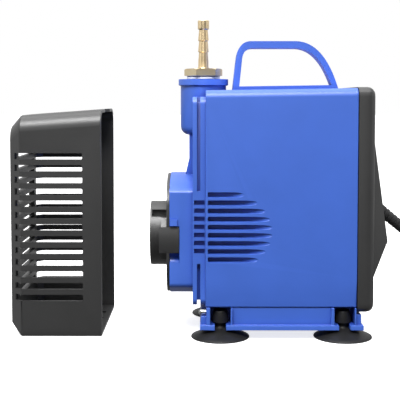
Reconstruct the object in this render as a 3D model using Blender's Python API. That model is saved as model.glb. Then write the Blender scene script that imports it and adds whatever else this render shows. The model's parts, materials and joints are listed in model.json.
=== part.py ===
"""Submersible fountain pump, with its intake strainer pulled off and stood beside it.

Metres, +Z up. X runs along the pump from the intake (-X) to the cord (+X), and Y across it.
The origin is on the floor, below the middle of the pump and strainer taken together.
"""
import math

import bmesh
import bpy
from mathutils import Matrix, Vector

MM = 0.001
GAP = 0.3 * MM              # clearance kept between neighbouring pieces
PAST = 1.0 * MM             # how far a cutter runs past the face it opens
WELD = 0.0005 * MM
SMOOTH_ANGLE = math.radians(35)

# Motor housing: a drawn box, open at the cord end
HOUSING_X = (4.3 * MM, 107.6 * MM)
HOUSING_BOTTOM = 22.2 * MM
HOUSING_TOP = 170.8 * MM
HOUSING_TOP_RISE = 1.5 * MM           # the top climbs this much towards the cord end
HALF_WIDTH = 46.0 * MM
FOOT_HALF_WIDTH = 43.9 * MM
WALL_BEND = 42.0 * MM                 # the side walls lean in below this height
SHOULDER = 5.5 * MM
SIDE_WALL = 5.5 * MM
ROOF_WALL = 3.5 * MM
END_WALL = 5.0 * MM
BOSS_RADIUS = 4.4 * MM
BOSS_DEPTH = 16.0 * MM
CORNER_Y = 36.5 * MM
CORNER_Z = (30.0 * MM, 165.5 * MM)
HEAD_CORNER_Z = (30.5 * MM, 158.5 * MM)

# Louvre grooves in both long sides of the housing
LOUVRE_ROWS = 9
LOUVRE_PITCH = 5.56 * MM
LOUVRE_MIDDLE = 77.5 * MM
LOUVRE_HEIGHT = 3.2 * MM
LOUVRE_DEPTH = 4.9 * MM
LOUVRE_START = 5.5 * MM
LOUVRE_REACH = 44.0 * MM
LOUVRE_OVAL_Z = 74.5 * MM
LOUVRE_OVAL_HALF = 30.4 * MM

# Pump axis and everything that turns or sits round it
AXIS_Z = 67.7 * MM
SHAFT_RADIUS = 2.5 * MM
SHAFT_X = (-27.0 * MM, 60.4 * MM)
BUSH_RADIUS = 5.0 * MM
RUNNING_GAP = 0.3 * MM
CAN_OUTER = 15.8 * MM
CAN_INNER = 14.2 * MM
CAN_FLANGE = 22.0 * MM
CAN_X = (4.6 * MM, 63.0 * MM)
MAGNET_RADIUS = 13.4 * MM
MAGNET_X = (12.0 * MM, 52.0 * MM)
IMPELLER_RADIUS = 27.0 * MM
IMPELLER_VANES = 6

# Pump head: flange plate, volute and outlet tube
FLANGE_X = (-4.8 * MM, 4.0 * MM)
FLANGE_HALF_WIDTH = 42.9 * MM
FLANGE_Z = (22.8 * MM, 166.4 * MM)
FLANGE_CORNER = 5.0 * MM
VOLUTE_HALF_WIDTH = 39.2 * MM
VOLUTE_Z = (25.6 * MM, 111.7 * MM)
VOLUTE_CROWN = 10.0 * MM              # how much its top and bottom bulge between the sides
VOLUTE_CORNER = 4.0 * MM
VOLUTE_FACE = -20.8 * MM
CHAMBER_RADIUS = 30.0 * MM
CHAMBER_FLOOR = -2.0 * MM
SPIGOT_SEAT = 35.3 * MM
SPIGOT_SEAT_FLOOR = -16.8 * MM
OUTLET_X = 2.5 * MM
OUTLET_RADIUS = 16.4 * MM
OUTLET_Z = (139.0 * MM, 179.0 * MM)
COLLAR_RADIUS = 17.9 * MM
COLLAR_HEIGHT = 4.2 * MM
THREAD_RADIUS = 10.48 * MM            # G 1/2 male thread
SIDE_GROOVE_X = (-1.9 * MM, 0.4 * MM)
SIDE_GROOVE_DEPTH = 3.6 * MM
SIDE_GROOVE_ENDS = (52.0 * MM, 102.0 * MM)
RIB_GROOVES = 7                       # short grooves in line with the louvres
RIB_GROOVE_X = (-3.9 * MM, 3.4 * MM)
RIB_GROOVE_DEPTH = 3.0 * MM
WEB_X = -7.6 * MM                     # front edge of the web between volute and outlet tube

# Volute cover with its inlet collar and bayonet tabs
COVER_X = (-23.0 * MM, -21.1 * MM)
COVER_HALF_WIDTH = 38.5 * MM
COVER_Z = (26.2 * MM, 111.1 * MM)
COVER_CORNER = 24.0 * MM
INLET_RADIUS = 23.2 * MM
INLET_BORE = 17.0 * MM
INLET_FACE = -35.4 * MM
ARM_X = (-28.1 * MM, -23.0 * MM)
ARM_HALF_HEIGHT = 8.5 * MM
TAB_RADII = (37.3 * MM, 39.5 * MM)
TAB_END = -14.3 * MM
TRACK_END = -13.9 * MM
TWIST = math.radians(8)

# Strainer, where it stands at rest
STRAINER_X = (-132.3 * MM, -68.0 * MM)
STRAINER_Y = 10.0 * MM
STRAINER_HALF_WIDTH = 46.3 * MM
STRAINER_HEIGHT = 157.6 * MM
STRAINER_SLOPE = 4.6 * MM             # how much lower the roof is at the closed end
STRAINER_WALL = 2.2 * MM
STRAINER_END_WALL = 4.5 * MM
STRAINER_CHAMFER = 8.0 * MM
STRAINER_SHOULDER = 11.0 * MM
SLOT_ROWS = 13
SLOT_PITCH = 8.2 * MM
SLOT_FIRST = 27.0 * MM
SLOT_HEIGHT = 4.4 * MM
SLOT_END_X = -81.0 * MM

# Back cover and its wedge
BACK_X = (107.9 * MM, 119.5 * MM)
BACK_Z = (18.2 * MM, 173.0 * MM)
BACK_CORNER = 6.5 * MM
BACK_EDGE = 5.0 * MM
BACK_WALL = 4.6 * MM
WEDGE_Z = (37.9 * MM, 145.8 * MM)
WEDGE_PEAK = (132.3 * MM, 64.7 * MM)  # x and z of the ridge
WEDGE_HALF_WIDTHS = (38.0 * MM, 24.0 * MM)

# Base rail and suction feet
LIP_X = (0.2 * MM, 112.3 * MM)
LIP_Z = (6.6 * MM, 9.9 * MM)
RAIL_X = (4.5 * MM, 107.3 * MM)
RAIL_TOP = 21.9 * MM
RAIL_HALF_WIDTH = 45.4 * MM
PANEL_X = (22.4 * MM, 90.2 * MM)
PANEL_HALF_WIDTH = 43.0 * MM
FOOT_X = (14.2 * MM, 99.3 * MM)
FOOT_Y = 36.0 * MM
POCKET_HALF = 7.0 * MM
NECK_SLOT_HALF = 3.9 * MM

BASE_SCREW_X = (-1.0 * MM, 4.2 * MM, 6.9 * MM)   # tip, shoulder, end
BASE_SCREW_Y = 38.5 * MM
BASE_SCREW_Z = 17.9 * MM
BASE_SCREW_RADIUS = 2.1 * MM
RAIL_STEP_TOP = 15.5 * MM

# Carry handle
HANDLE_HALF_WIDTH = 7.5 * MM
HANDLE_STRAP = 5.0 * MM
HANDLE_TOP = 206.1 * MM

# Power cord
CORD_DIAMETER = 7.6 * MM
CORD_RADIUS = CORD_DIAMETER / 2
EXIT_ANGLE = math.radians(-39)
EXIT_POINT = (129.4 * MM, 0.0, 85.9 * MM)
GLAND_LENGTH = 25.0 * MM
GLAND_INSIDE = 16.2 * MM
GLAND_RADII = (4.3 * MM, 3.9 * MM)
COIL_CENTRE = (226.0 * MM, 49.4 * MM)
COIL_TURN_RADII = (34.2 * MM, 41.8 * MM, 49.4 * MM)
COIL_LAYERS = 2
CORD_ROUTE = (                        # from the strain relief's tip down to the coil
    (150.4, 0.0, 68.4), (157.5, 0.0, 62.0), (164.0, 0.0, 53.6), (168.8, 0.0, 44.2),
    (173.2, 0.0, 34.2), (178.4, 0.0, 24.6), (185.2, 0.0, 15.8), (193.2, -0.3, 9.2),
    (201.0, -2.2, 5.4),
)
TAIL_ROUTE = (                        # from the top of the coil to the plug
    (270.6, 62.1, 19.6), (268.6, 70.0, 20.3), (264.9, 77.1, 21.8), (259.5, 83.0, 23.7),
    (252.7, 87.4, 25.4), (245.6, 89.9, 26.7), (238.8, 90.0, 26.8),
)
PLUG_X = (238.0 * MM, 187.6 * MM)     # cord end, face
PLUG_Y = 90.0 * MM
PLUG_Z = 26.8 * MM


# ---------------------------------------------------------------- tools

def clear_scene():
    for obj in list(bpy.data.objects):
        bpy.data.objects.remove(obj, do_unlink=True)


def finish(material, colour, roughness, metallic):
    """A plain Principled BSDF material."""
    made = bpy.data.materials.new(material)
    made.use_nodes = True
    shader = made.node_tree.nodes["Principled BSDF"]
    shader.inputs["Base Color"].default_value = (*colour, 1.0)
    shader.inputs["Roughness"].default_value = roughness
    shader.inputs["Metallic"].default_value = metallic
    return made


def add_object(name, bm, material=None, smooth=False):
    """Weld the mesh, turn its faces outwards and link it to the scene."""
    bmesh.ops.remove_doubles(bm, verts=bm.verts, dist=WELD)
    bmesh.ops.recalc_face_normals(bm, faces=bm.faces)
    mesh = bpy.data.meshes.new(name)
    bm.to_mesh(mesh)
    bm.free()
    if smooth:
        mesh.shade_smooth()
        mesh.set_sharp_from_angle(angle=SMOOTH_ANGLE)
    if material:
        mesh.materials.append(material)
    obj = bpy.data.objects.new(name, mesh)
    bpy.context.collection.objects.link(obj)
    return obj


def hide_tool(obj):
    obj.hide_render = True
    obj.display_type = "WIRE"
    return obj


def combine(target, tool, operation):
    """Boolean with a hidden helper: DIFFERENCE cuts it out, UNION welds it on."""
    modifier = target.modifiers.new(tool.name, "BOOLEAN")
    modifier.operation = operation
    modifier.solver = "EXACT"
    modifier.object = hide_tool(tool)


def cut(target, *tools):
    for tool in tools:
        combine(target, tool, "DIFFERENCE")


def weld(target, *tools):
    for tool in tools:
        combine(target, tool, "UNION")


def add_box(bm, x, y, z):
    """Box between two limits on each axis."""
    lows, highs = zip(*(sorted(pair) for pair in (x, y, z)))
    size = [high - low for low, high in zip(lows, highs)]
    centre = [(high + low) / 2 for low, high in zip(lows, highs)]
    matrix = Matrix.Translation(centre) @ Matrix.Diagonal((*size, 1.0))
    return bmesh.ops.create_cube(bm, size=1.0, matrix=matrix)["verts"]


def boxes(name, limits, material=None):
    bm = bmesh.new()
    for x, y, z in limits:
        add_box(bm, x, y, z)
    return add_object(name, bm, material)


def on_axis(axis, a, b, along):
    return {"X": (along, a, b), "Y": (a, along, b), "Z": (a, b, along)}[axis]


def add_prism(bm, outline, axis, start, end):
    """Solid of a flat outline pushed from start to end along an axis."""
    verts = [bm.verts.new(on_axis(axis, a, b, start)) for a, b in outline]
    face = bm.faces.new(verts)
    pushed = bmesh.ops.extrude_face_region(bm, geom=[face])["geom"]
    far = [item for item in pushed if isinstance(item, bmesh.types.BMVert)]
    bmesh.ops.translate(bm, verts=far, vec=on_axis(axis, 0.0, 0.0, end - start))
    return far


def prism(name, outline, axis, start, end, material=None, smooth=False):
    bm = bmesh.new()
    add_prism(bm, outline, axis, start, end)
    return add_object(name, bm, material, smooth)


def add_turned(bm, profile, axis, centre, steps):
    """Solid turned about an axis: profile is (radius, distance along the axis) pairs."""
    direction = Vector(on_axis(axis, 0.0, 0.0, 1.0))
    outward = Vector(on_axis(axis, 1.0, 0.0, 0.0))
    verts = [bm.verts.new(Vector(centre) + outward * r + direction * along)
             for r, along in profile]
    pairs = list(zip(verts, verts[1:]))
    if profile[0][0] > 0.0 or profile[-1][0] > 0.0:
        pairs.append((verts[-1], verts[0]))
    edges = [bm.edges.new(pair) for pair in pairs]
    bmesh.ops.spin(bm, geom=verts + edges, cent=centre, axis=direction,
                   angle=math.tau, steps=steps, use_merge=True)


def turned(name, profile, axis, centre, steps, material=None):
    bm = bmesh.new()
    add_turned(bm, profile, axis, centre, steps)
    return add_object(name, bm, material, smooth=True)


def rod(radius, start, end):
    """Profile of a solid rod."""
    return [(0.0, start), (radius, start), (radius, end), (0.0, end)]


def ring(inner, outer, start, end):
    """Profile of a ring with a square section."""
    return [(inner, start), (outer, start), (outer, end), (inner, end)]


def round_ring(radius, section, along, steps=6):
    """Profile of an O-ring."""
    angles = [math.tau * i / steps for i in range(steps)]
    return [(radius + section * math.cos(a), along + section * math.sin(a)) for a in angles]


def hull(name, points, material=None):
    bm = bmesh.new()
    verts = [bm.verts.new(point) for point in points]
    made = bmesh.ops.convex_hull(bm, input=verts)
    bmesh.ops.delete(bm, geom=list(set(made["geom_interior"])), context="VERTS")
    return add_object(name, bm, material)


def arc(centre, radius, start, end, steps):
    """Points on an arc, angles in radians, both ends included."""
    turn = (end - start) / steps
    return [(centre[0] + radius * math.cos(start + i * turn),
             centre[1] + radius * math.sin(start + i * turn)) for i in range(steps + 1)]


def bezier(p0, p1, p2, steps):
    """Points on a quadratic curve from p0 to p2 drawn towards p1."""
    points = []
    for i in range(steps + 1):
        t = i / steps
        weights = ((1 - t) ** 2, 2 * t * (1 - t), t ** 2)
        points.append(tuple(sum(w * p[k] for w, p in zip(weights, (p0, p1, p2)))
                            for k in range(2)))
    return points


def rounded_rect(half_width, z, radius, steps=3):
    """Rounded rectangle across the pump, centred on Y = 0."""
    low, high = z[0] + radius, z[1] - radius
    side = half_width - radius
    quarter = math.pi / 2
    return (arc((side, low), radius, -quarter, 0, steps)
            + arc((side, high), radius, 0, quarter, steps)
            + arc((-side, high), radius, quarter, 2 * quarter, steps)
            + arc((-side, low), radius, 2 * quarter, 3 * quarter, steps))


def crowned_box(half_width, z, crown, radius, steps=5):
    """Flat sides, bulging top and bottom and rounded corners, as an outline across the pump."""
    middle, half_height = (z[0] + z[1]) / 2, (z[1] - z[0]) / 2
    bulge = (half_width ** 2 + crown ** 2) / (2 * crown)
    centre_y = half_width - radius
    centre_z = half_height - bulge + math.sqrt((bulge - radius) ** 2 - centre_y ** 2)
    lean = math.atan2(centre_z - half_height + bulge, centre_y)
    quarter = arc((centre_y, centre_z), radius, 0, lean, steps)
    quarter += arc((0.0, half_height - bulge), bulge, lean, math.pi / 2, steps)[1:]
    right = [(y, z) for y, z in reversed(quarter)][:-1] + [(y, -z) for y, z in quarter]
    half = [(y, middle + z) for y, z in right]
    return half + [(-y, z) for y, z in reversed(half[1:-1])]


def ring_sector(inner, outer, start, end, steps=6):
    """Piece of a ring round the pump axis."""
    centre = (0.0, AXIS_Z)
    return arc(centre, outer, start, end, steps) + arc(centre, inner, end, start, steps)


def corner_places(heights):
    return [(side * CORNER_Y, z) for z in heights for side in (-1, 1)]


# ---------------------------------------------------------------- motor housing

def housing_section(side, roof, radius):
    """Outline of the housing across the pump, moved in by the wall's thickness."""
    wide, narrow = HALF_WIDTH - side, FOOT_HALF_WIDTH - side
    low, high = HOUSING_BOTTOM + roof, HOUSING_TOP - roof
    right = [(narrow, low), (wide, WALL_BEND)]
    right += arc((wide - radius, high - radius), radius, 0, math.pi / 2, 4)
    return right + [(-y, z) for y, z in reversed(right)]


def raise_roof(obj):
    """Let the roof climb towards the cord end."""
    length = HOUSING_X[1] - HOUSING_X[0]
    for vertex in obj.data.vertices:
        if vertex.co.z > AXIS_Z:
            vertex.co.z += HOUSING_TOP_RISE * (vertex.co.x - HOUSING_X[0]) / length


def louvre_cutter():
    """Grooves whose floors sweep up to the surface towards the cord end."""
    bm = bmesh.new()
    for row in range(LOUVRE_ROWS):
        middle = LOUVRE_MIDDLE + (row - LOUVRE_ROWS // 2) * LOUVRE_PITCH
        fullness = math.sqrt(1 - ((middle - LOUVRE_OVAL_Z) / LOUVRE_OVAL_HALF) ** 2)
        reach = LOUVRE_REACH * fullness
        depth = LOUVRE_DEPTH * min(1.0, fullness / 0.8)
        sweep = [(0.0, 1.0), (0.45, 0.93), (0.7, 0.7), (0.88, 0.36), (1.0, 0.0), (1.1, -0.35)]
        for side in (-1, 1):
            outline = [(LOUVRE_START, side * (HALF_WIDTH + 2 * PAST))]
            outline += [(LOUVRE_START + share * reach, side * (HALF_WIDTH - depth * floor))
                        for share, floor in sweep]
            outline.append((outline[-1][0], side * (HALF_WIDTH + 2 * PAST)))
            add_prism(bm, outline, "Z", middle - LOUVRE_HEIGHT / 2, middle + LOUVRE_HEIGHT / 2)
    return add_object("louvre_cutter", bm)


def motor_housing(material):
    left, right = HOUSING_X
    body = prism("motor_housing", housing_section(0.0, 0.0, SHOULDER), "X", left, right,
                 material, smooth=True)
    raise_roof(body)
    cavity = prism("housing_cavity", housing_section(SIDE_WALL, ROOF_WALL, 3.0 * MM), "X",
                   left + END_WALL, right + PAST)
    raise_roof(cavity)
    cut(body, louvre_cutter(), cavity)

    recess_radius = OUTLET_RADIUS + 0.4 * MM
    recess_wall = 2.6 * MM
    recess_floor = OUTLET_Z[0] - PAST
    pillar = turned("outlet_pillar", rod(recess_radius + recess_wall, recess_floor - recess_wall,
                                         HOUSING_TOP - ROOF_WALL / 2), "Z", (OUTLET_X, 0, 0), 32)
    trim = boxes("outlet_pillar_trim",
                 [((-40 * MM, left + PAST), (-30 * MM, 30 * MM), (120 * MM, 190 * MM))])
    cut(pillar, trim)
    bosses = bmesh.new()
    for y, z in corner_places(CORNER_Z):
        add_turned(bosses, rod(BOSS_RADIUS, right - BOSS_DEPTH, right - GAP), "X", (0, y, z), 12)
    head_bosses = bmesh.new()
    for y, z in corner_places(HEAD_CORNER_Z):
        add_turned(head_bosses, rod(BOSS_RADIUS, left + PAST, left + BOSS_DEPTH),
                   "X", (0, y, z), 12)
    weld(body, pillar, add_object("back_bosses", bosses), add_object("head_bosses", head_bosses))

    recess = turned("outlet_recess", rod(recess_radius, recess_floor, 190 * MM), "Z",
                    (OUTLET_X, 0, 0), 32)
    can_seat = turned("can_seat", [(0.0, left - PAST), (CAN_FLANGE + 2 * GAP, left - PAST),
                                   (CAN_FLANGE + 2 * GAP, left + 2.6 * MM),
                                   (CAN_OUTER + GAP, left + 2.6 * MM),
                                   (CAN_OUTER + GAP, left + END_WALL + PAST),
                                   (0.0, left + END_WALL + PAST)], "X", (0, 0, AXIS_Z), 28)
    bores = bmesh.new()
    bore_radius = 1.6 * MM + GAP
    for y, z in corner_places(CORNER_Z):
        add_turned(bores, rod(bore_radius, right - BOSS_DEPTH + 3 * MM, right + PAST),
                   "X", (0, y, z), 8)
    for y, z in corner_places(HEAD_CORNER_Z):
        add_turned(bores, rod(bore_radius, left - PAST, left + BOSS_DEPTH - 3 * MM),
                   "X", (0, y, z), 8)
    cut(body, recess, can_seat, add_object("housing_bores", bores))


# ---------------------------------------------------------------- base and feet

def base_rail(material):
    lip = boxes("base_rail", [(LIP_X, (-HALF_WIDTH, HALF_WIDTH), LIP_Z)], material)
    rise = (LIP_Z[1] - PAST, RAIL_TOP)
    weld(lip, boxes("rail_ends", [
        ((RAIL_X[0], PANEL_X[0]), (-RAIL_HALF_WIDTH, RAIL_HALF_WIDTH), rise),
        ((PANEL_X[1], RAIL_X[1]), (-RAIL_HALF_WIDTH, RAIL_HALF_WIDTH), rise)]))
    weld(lip, boxes("rail_panel", [((PANEL_X[0] - PAST, PANEL_X[1] + PAST),
                                    (-PANEL_HALF_WIDTH, PANEL_HALF_WIDTH), rise)]))
    weld(lip, boxes("rail_steps", [
        ((0.9 * MM, RAIL_X[0] + PAST), (-PANEL_HALF_WIDTH, PANEL_HALF_WIDTH),
         (LIP_Z[1] - PAST, RAIL_STEP_TOP)),
        ((RAIL_X[1] - PAST, 111.0 * MM), (-PANEL_HALF_WIDTH, PANEL_HALF_WIDTH),
         (LIP_Z[1] - PAST, 17.0 * MM))]))

    pockets, slots = [], bmesh.new()
    for x in FOOT_X:
        for side in (-1, 1):
            pockets.append(((x - POCKET_HALF, x + POCKET_HALF),
                            (side * 27 * MM, side * (HALF_WIDTH + PAST)),
                            (LIP_Z[1], RAIL_TOP + PAST)))
            outline = arc((x, side * FOOT_Y), NECK_SLOT_HALF, math.pi if side > 0 else 0.0,
                          math.tau if side > 0 else math.pi, 8)
            outline += [(x + side * NECK_SLOT_HALF, side * (HALF_WIDTH + PAST)),
                        (x - side * NECK_SLOT_HALF, side * (HALF_WIDTH + PAST))]
            add_prism(slots, outline, "Z", LIP_Z[0] - PAST, LIP_Z[1] + PAST)
    hollow = boxes("rail_hollow", [((27 * MM, 86 * MM), (-38 * MM, 38 * MM),
                                    (LIP_Z[0] - PAST, 18 * MM))])
    screw_bores = bmesh.new()
    for side in (-1, 1):
        add_turned(screw_bores, rod(1.5 * MM, 0.0, BASE_SCREW_X[2] + 2 * PAST), "X",
                   (0, side * BASE_SCREW_Y, BASE_SCREW_Z), 8)
    cut(lip, boxes("foot_pockets", pockets), add_object("neck_slots", slots), hollow,
        add_object("base_screw_bores", screw_bores))


def suction_foot(name, x, y, material):
    """Rubber cup, neck and button head, turned in one piece."""
    profile = [(0.0, 4.0), (7.0, 3.5), (13.5, 2.3), (18.6, 0.0), (20.3, 0.0), (20.1, 1.0),
               (14.5, 3.6), (8.5, 5.4), (3.5, 6.2), (3.3, 8.0), (3.3, 10.3), (5.6, 10.3),
               (5.6, 12.5), (4.9, 18.4), (4.3, 19.0), (0.0, 19.0)]
    turned(name, [(r * MM, z * MM) for r, z in profile], "Z", (x, y, 0), 20, material)


def pan_screw(name, place, head_x, length, material, head_radius=3.2 * MM, towards=1):
    """Screw lying along X: head_x is the top of its head, and it points towards +X or -X."""
    head, shank = 2.2 * MM, 1.6 * MM
    profile = [(0.0, 0.0), (head_radius * 0.6, 0.0), (head_radius, 0.35 * head),
               (head_radius, head), (shank, head), (shank, length), (0.0, length)]
    profile = [(r, head_x + towards * along) for r, along in profile]
    turned(name, profile, "X", (0, *place), 10, material)


def base_screw(name, y, material):
    """Domed screw that ties the base rail to the pump head's end."""
    radius, shank = BASE_SCREW_RADIUS, 1.2 * MM
    tip, neck, end = BASE_SCREW_X
    dome = arc((tip + radius, 0.0), radius, math.pi, math.pi / 2, 4)[1:]
    profile = [(0.0, tip)] + [(r, along) for along, r in dome]
    profile += [(radius, neck), (shank, neck), (shank, end), (0.0, end)]
    turned(name, profile, "X", (0, y, BASE_SCREW_Z), 12, material)


# ---------------------------------------------------------------- pump head

def pump_head(material):
    head = prism("pump_head", rounded_rect(FLANGE_HALF_WIDTH, FLANGE_Z, FLANGE_CORNER),
                 "X", *FLANGE_X, material, smooth=True)
    volute = prism("volute", crowned_box(VOLUTE_HALF_WIDTH, VOLUTE_Z, VOLUTE_CROWN, VOLUTE_CORNER),
                   "X", VOLUTE_FACE, FLANGE_X[0] + PAST)
    foot_radius = 6.0 * MM
    low, high = OUTLET_Z
    round_foot = arc((OUTLET_RADIUS - foot_radius, low + foot_radius), foot_radius,
                     -math.pi / 2, 0, 4)
    tube = turned("outlet_tube", [(0.0, low)] + round_foot
                  + [(OUTLET_RADIUS, high - COLLAR_HEIGHT - 0.6 * MM),
                     (COLLAR_RADIUS, high - COLLAR_HEIGHT), (COLLAR_RADIUS, high), (0.0, high)],
                  "Z", (OUTLET_X, 0, 0), 32)
    web_y = 9 * MM
    rib = hull("volute_rib", [(x, side * web_y, z) for side in (-1, 1) for x, z in
                              ((FLANGE_X[0] + PAST, 121 * MM), (FLANGE_X[0] + PAST, 105 * MM),
                               (-11.0 * MM, 105 * MM), (-10.4 * MM, 110.4 * MM),
                               (WEB_X - 0.4 * MM, 121 * MM))])
    web = boxes("outlet_web", [((WEB_X, FLANGE_X[0] + PAST), (-web_y, web_y),
                                (108 * MM, OUTLET_Z[0] + 2 * MM))])
    stops = boxes("tab_stops", [
        ((-20.4 * MM, -15.6 * MM), (side * 37 * MM, side * 40.7 * MM),
         (AXIS_Z - side * 9.4 * MM, AXIS_Z - side * 14.4 * MM)) for side in (-1, 1)])
    weld(head, volute, tube, rib, web, stops)

    chamber = turned("chamber", [(0.0, VOLUTE_FACE - PAST), (SPIGOT_SEAT, VOLUTE_FACE - PAST),
                                 (SPIGOT_SEAT, SPIGOT_SEAT_FLOOR),
                                 (CHAMBER_RADIUS, SPIGOT_SEAT_FLOOR),
                                 (CHAMBER_RADIUS, CHAMBER_FLOOR), (16.3 * MM, CHAMBER_FLOOR),
                                 (16.3 * MM, FLANGE_X[1] + PAST), (0.0, FLANGE_X[1] + PAST)],
                     "X", (0, 0, AXIS_Z), 36)
    seal_groove = turned("can_seal_groove", ring(17.7 * MM, 20.3 * MM, 1.8 * MM, 5.0 * MM),
                         "X", (0, 0, AXIS_Z), 28)
    riser = boxes("riser", [((-4.0 * MM, 2.4 * MM), (-8.5 * MM, 8.5 * MM),
                             (91 * MM, 150 * MM))])
    socket = turned("outlet_socket", [(0.0, 146 * MM), (8.6 * MM, 146 * MM),
                                      (8.6 * MM, 165 * MM), (THREAD_RADIUS + GAP, 166 * MM),
                                      (THREAD_RADIUS + GAP, high + PAST), (0.0, high + PAST)],
                    "Z", (OUTLET_X, 0, 0), 20)
    tracks = bmesh.new()
    play = math.radians(0.7)
    floor, past_wall = TAB_RADII[0] - GAP, VOLUTE_HALF_WIDTH + 3 * PAST
    half_tab = math.asin(ARM_HALF_HEIGHT / floor) + play
    low, high = -past_wall * math.tan(half_tab), past_wall * math.tan(half_tab + TWIST)
    for side in (-1, 1):
        outline = arc((0.0, 0.0), floor, -half_tab, half_tab + TWIST, 8)
        outline += [(past_wall, high), (past_wall, low)]
        add_prism(tracks, [(side * y, AXIS_Z + side * z) for y, z in outline], "X",
                  VOLUTE_FACE - PAST, TRACK_END)
    side_floor, past_side = FLANGE_HALF_WIDTH - SIDE_GROOVE_DEPTH, 50 * MM
    low_floor, high_floor = FLANGE_Z[0] + SIDE_GROOVE_DEPTH, FLANGE_Z[1] - SIDE_GROOVE_DEPTH
    grooves = bmesh.new()
    for side in (-1, 1):
        outline = [(19 * MM, FLANGE_Z[1] + PAST), (19 * MM, high_floor), (side_floor, high_floor),
                   (side_floor, SIDE_GROOVE_ENDS[1]), (past_side, SIDE_GROOVE_ENDS[1]),
                   (past_side, FLANGE_Z[1] + PAST)]
        add_prism(grooves, [(side * y, z) for y, z in outline], "X", *SIDE_GROOVE_X)
    half = [(past_side, FLANGE_Z[0] - PAST), (past_side, SIDE_GROOVE_ENDS[0]),
            (side_floor, SIDE_GROOVE_ENDS[0]), (side_floor, low_floor)]
    add_prism(grooves, half + [(-y, z) for y, z in reversed(half)], "X", *SIDE_GROOVE_X)
    rib_floor = FLANGE_HALF_WIDTH - RIB_GROOVE_DEPTH
    rib_grooves = []
    for row in range(RIB_GROOVES):
        middle = LOUVRE_MIDDLE + (row - RIB_GROOVES // 2) * LOUVRE_PITCH
        rib_grooves += [(RIB_GROOVE_X, (side * rib_floor, side * 50 * MM),
                         (middle - LOUVRE_HEIGHT / 2, middle + LOUVRE_HEIGHT / 2))
                        for side in (-1, 1)]
    holes = bmesh.new()
    for y, z in corner_places(HEAD_CORNER_Z):
        add_turned(holes, [(0.0, FLANGE_X[0] - PAST), (3.6 * MM, FLANGE_X[0] - PAST),
                           (3.6 * MM, FLANGE_X[0] + 2.9 * MM), (1.9 * MM, FLANGE_X[0] + 2.9 * MM),
                           (1.9 * MM, FLANGE_X[1] + PAST), (0.0, FLANGE_X[1] + PAST)],
                   "X", (0, y, z), 10)
    cut(head, chamber, seal_groove, riser, socket, add_object("bayonet_tracks", tracks),
        add_object("flange_grooves", grooves), boxes("flange_rib_grooves", rib_grooves),
        add_object("head_screw_holes", holes))


def volute_cover(material):
    plate_left, plate_right = COVER_X
    cover = prism("volute_cover", crowned_box(COVER_HALF_WIDTH, COVER_Z, VOLUTE_CROWN,
                                              COVER_CORNER),
                  "X", plate_left, plate_right, material, smooth=True)
    collar = turned("inlet_collar", rod(INLET_RADIUS, INLET_FACE, plate_left + PAST / 2),
                    "X", (0, 0, AXIS_Z), 32)
    spigot = turned("spigot", ring(31.6 * MM, 33.0 * MM, plate_right - PAST / 2, -17.2 * MM),
                    "X", (0, 0, AXIS_Z), 28)
    arms = bmesh.new()
    arm_left, arm_right = ARM_X
    flare = 6.0 * MM
    for side in (-1, 1):
        outline = [(side * 15 * MM, AXIS_Z - ARM_HALF_HEIGHT - flare),
                   (side * 30 * MM, AXIS_Z - ARM_HALF_HEIGHT - flare),
                   (side * 34 * MM, AXIS_Z - ARM_HALF_HEIGHT),
                   (side * 38.6 * MM, AXIS_Z - ARM_HALF_HEIGHT),
                   (side * 38.6 * MM, AXIS_Z + ARM_HALF_HEIGHT),
                   (side * 34 * MM, AXIS_Z + ARM_HALF_HEIGHT),
                   (side * 30 * MM, AXIS_Z + ARM_HALF_HEIGHT + flare),
                   (side * 15 * MM, AXIS_Z + ARM_HALF_HEIGHT + flare)]
        add_prism(arms, outline, "X", arm_left + 1.2 * MM, arm_right + PAST / 2)
    tabs = bmesh.new()
    tab_angle = math.asin(ARM_HALF_HEIGHT / TAB_RADII[0])
    for base in (0.0, math.pi):
        sector = ring_sector(*TAB_RADII, base - tab_angle, base + tab_angle)
        add_prism(tabs, sector, "X", arm_left, TAB_END)
    weld(cover, collar, spigot, add_object("bayonet_arms", arms), add_object("side_tabs", tabs))

    recesses = [((INLET_FACE + 1.4 * MM, plate_left), (side * 11.6 * MM, side * 30 * MM),
                 (AXIS_Z - side * 13.8 * MM, AXIS_Z - side * 18.4 * MM)) for side in (-1, 1)]
    cut(cover, boxes("collar_recesses", recesses))

    bore = turned("inlet_bore", rod(INLET_BORE, INLET_FACE - PAST, -16 * MM), "X",
                  (0, 0, AXIS_Z), 28)
    cut(cover, bore)
    spider_x = (-30.0 * MM, -24.0 * MM)
    spokes = bmesh.new()
    spoke_half = 1.3 * MM
    for i in range(3):
        verts = add_box(spokes, spider_x, (4 * MM, INLET_BORE + PAST), (-spoke_half, spoke_half))
        bmesh.ops.rotate(spokes, verts=verts, cent=(0, 0, 0),
                         matrix=Matrix.Rotation(math.pi / 2 + i * math.tau / 3, 3, "X"))
        bmesh.ops.translate(spokes, verts=verts, vec=(0, 0, AXIS_Z))
    hub = turned("spider_hub", rod(7.2 * MM, -30.0 * MM, -22.0 * MM), "X", (0, 0, AXIS_Z), 14)
    weld(cover, hub, add_object("spider_spokes", spokes))
    pocket = turned("front_bush_pocket", rod(BUSH_RADIUS + GAP, -28.2 * MM, -21.0 * MM), "X",
                    (0, 0, AXIS_Z), 14)
    cut(cover, pocket)


# ---------------------------------------------------------------- turning parts

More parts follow.
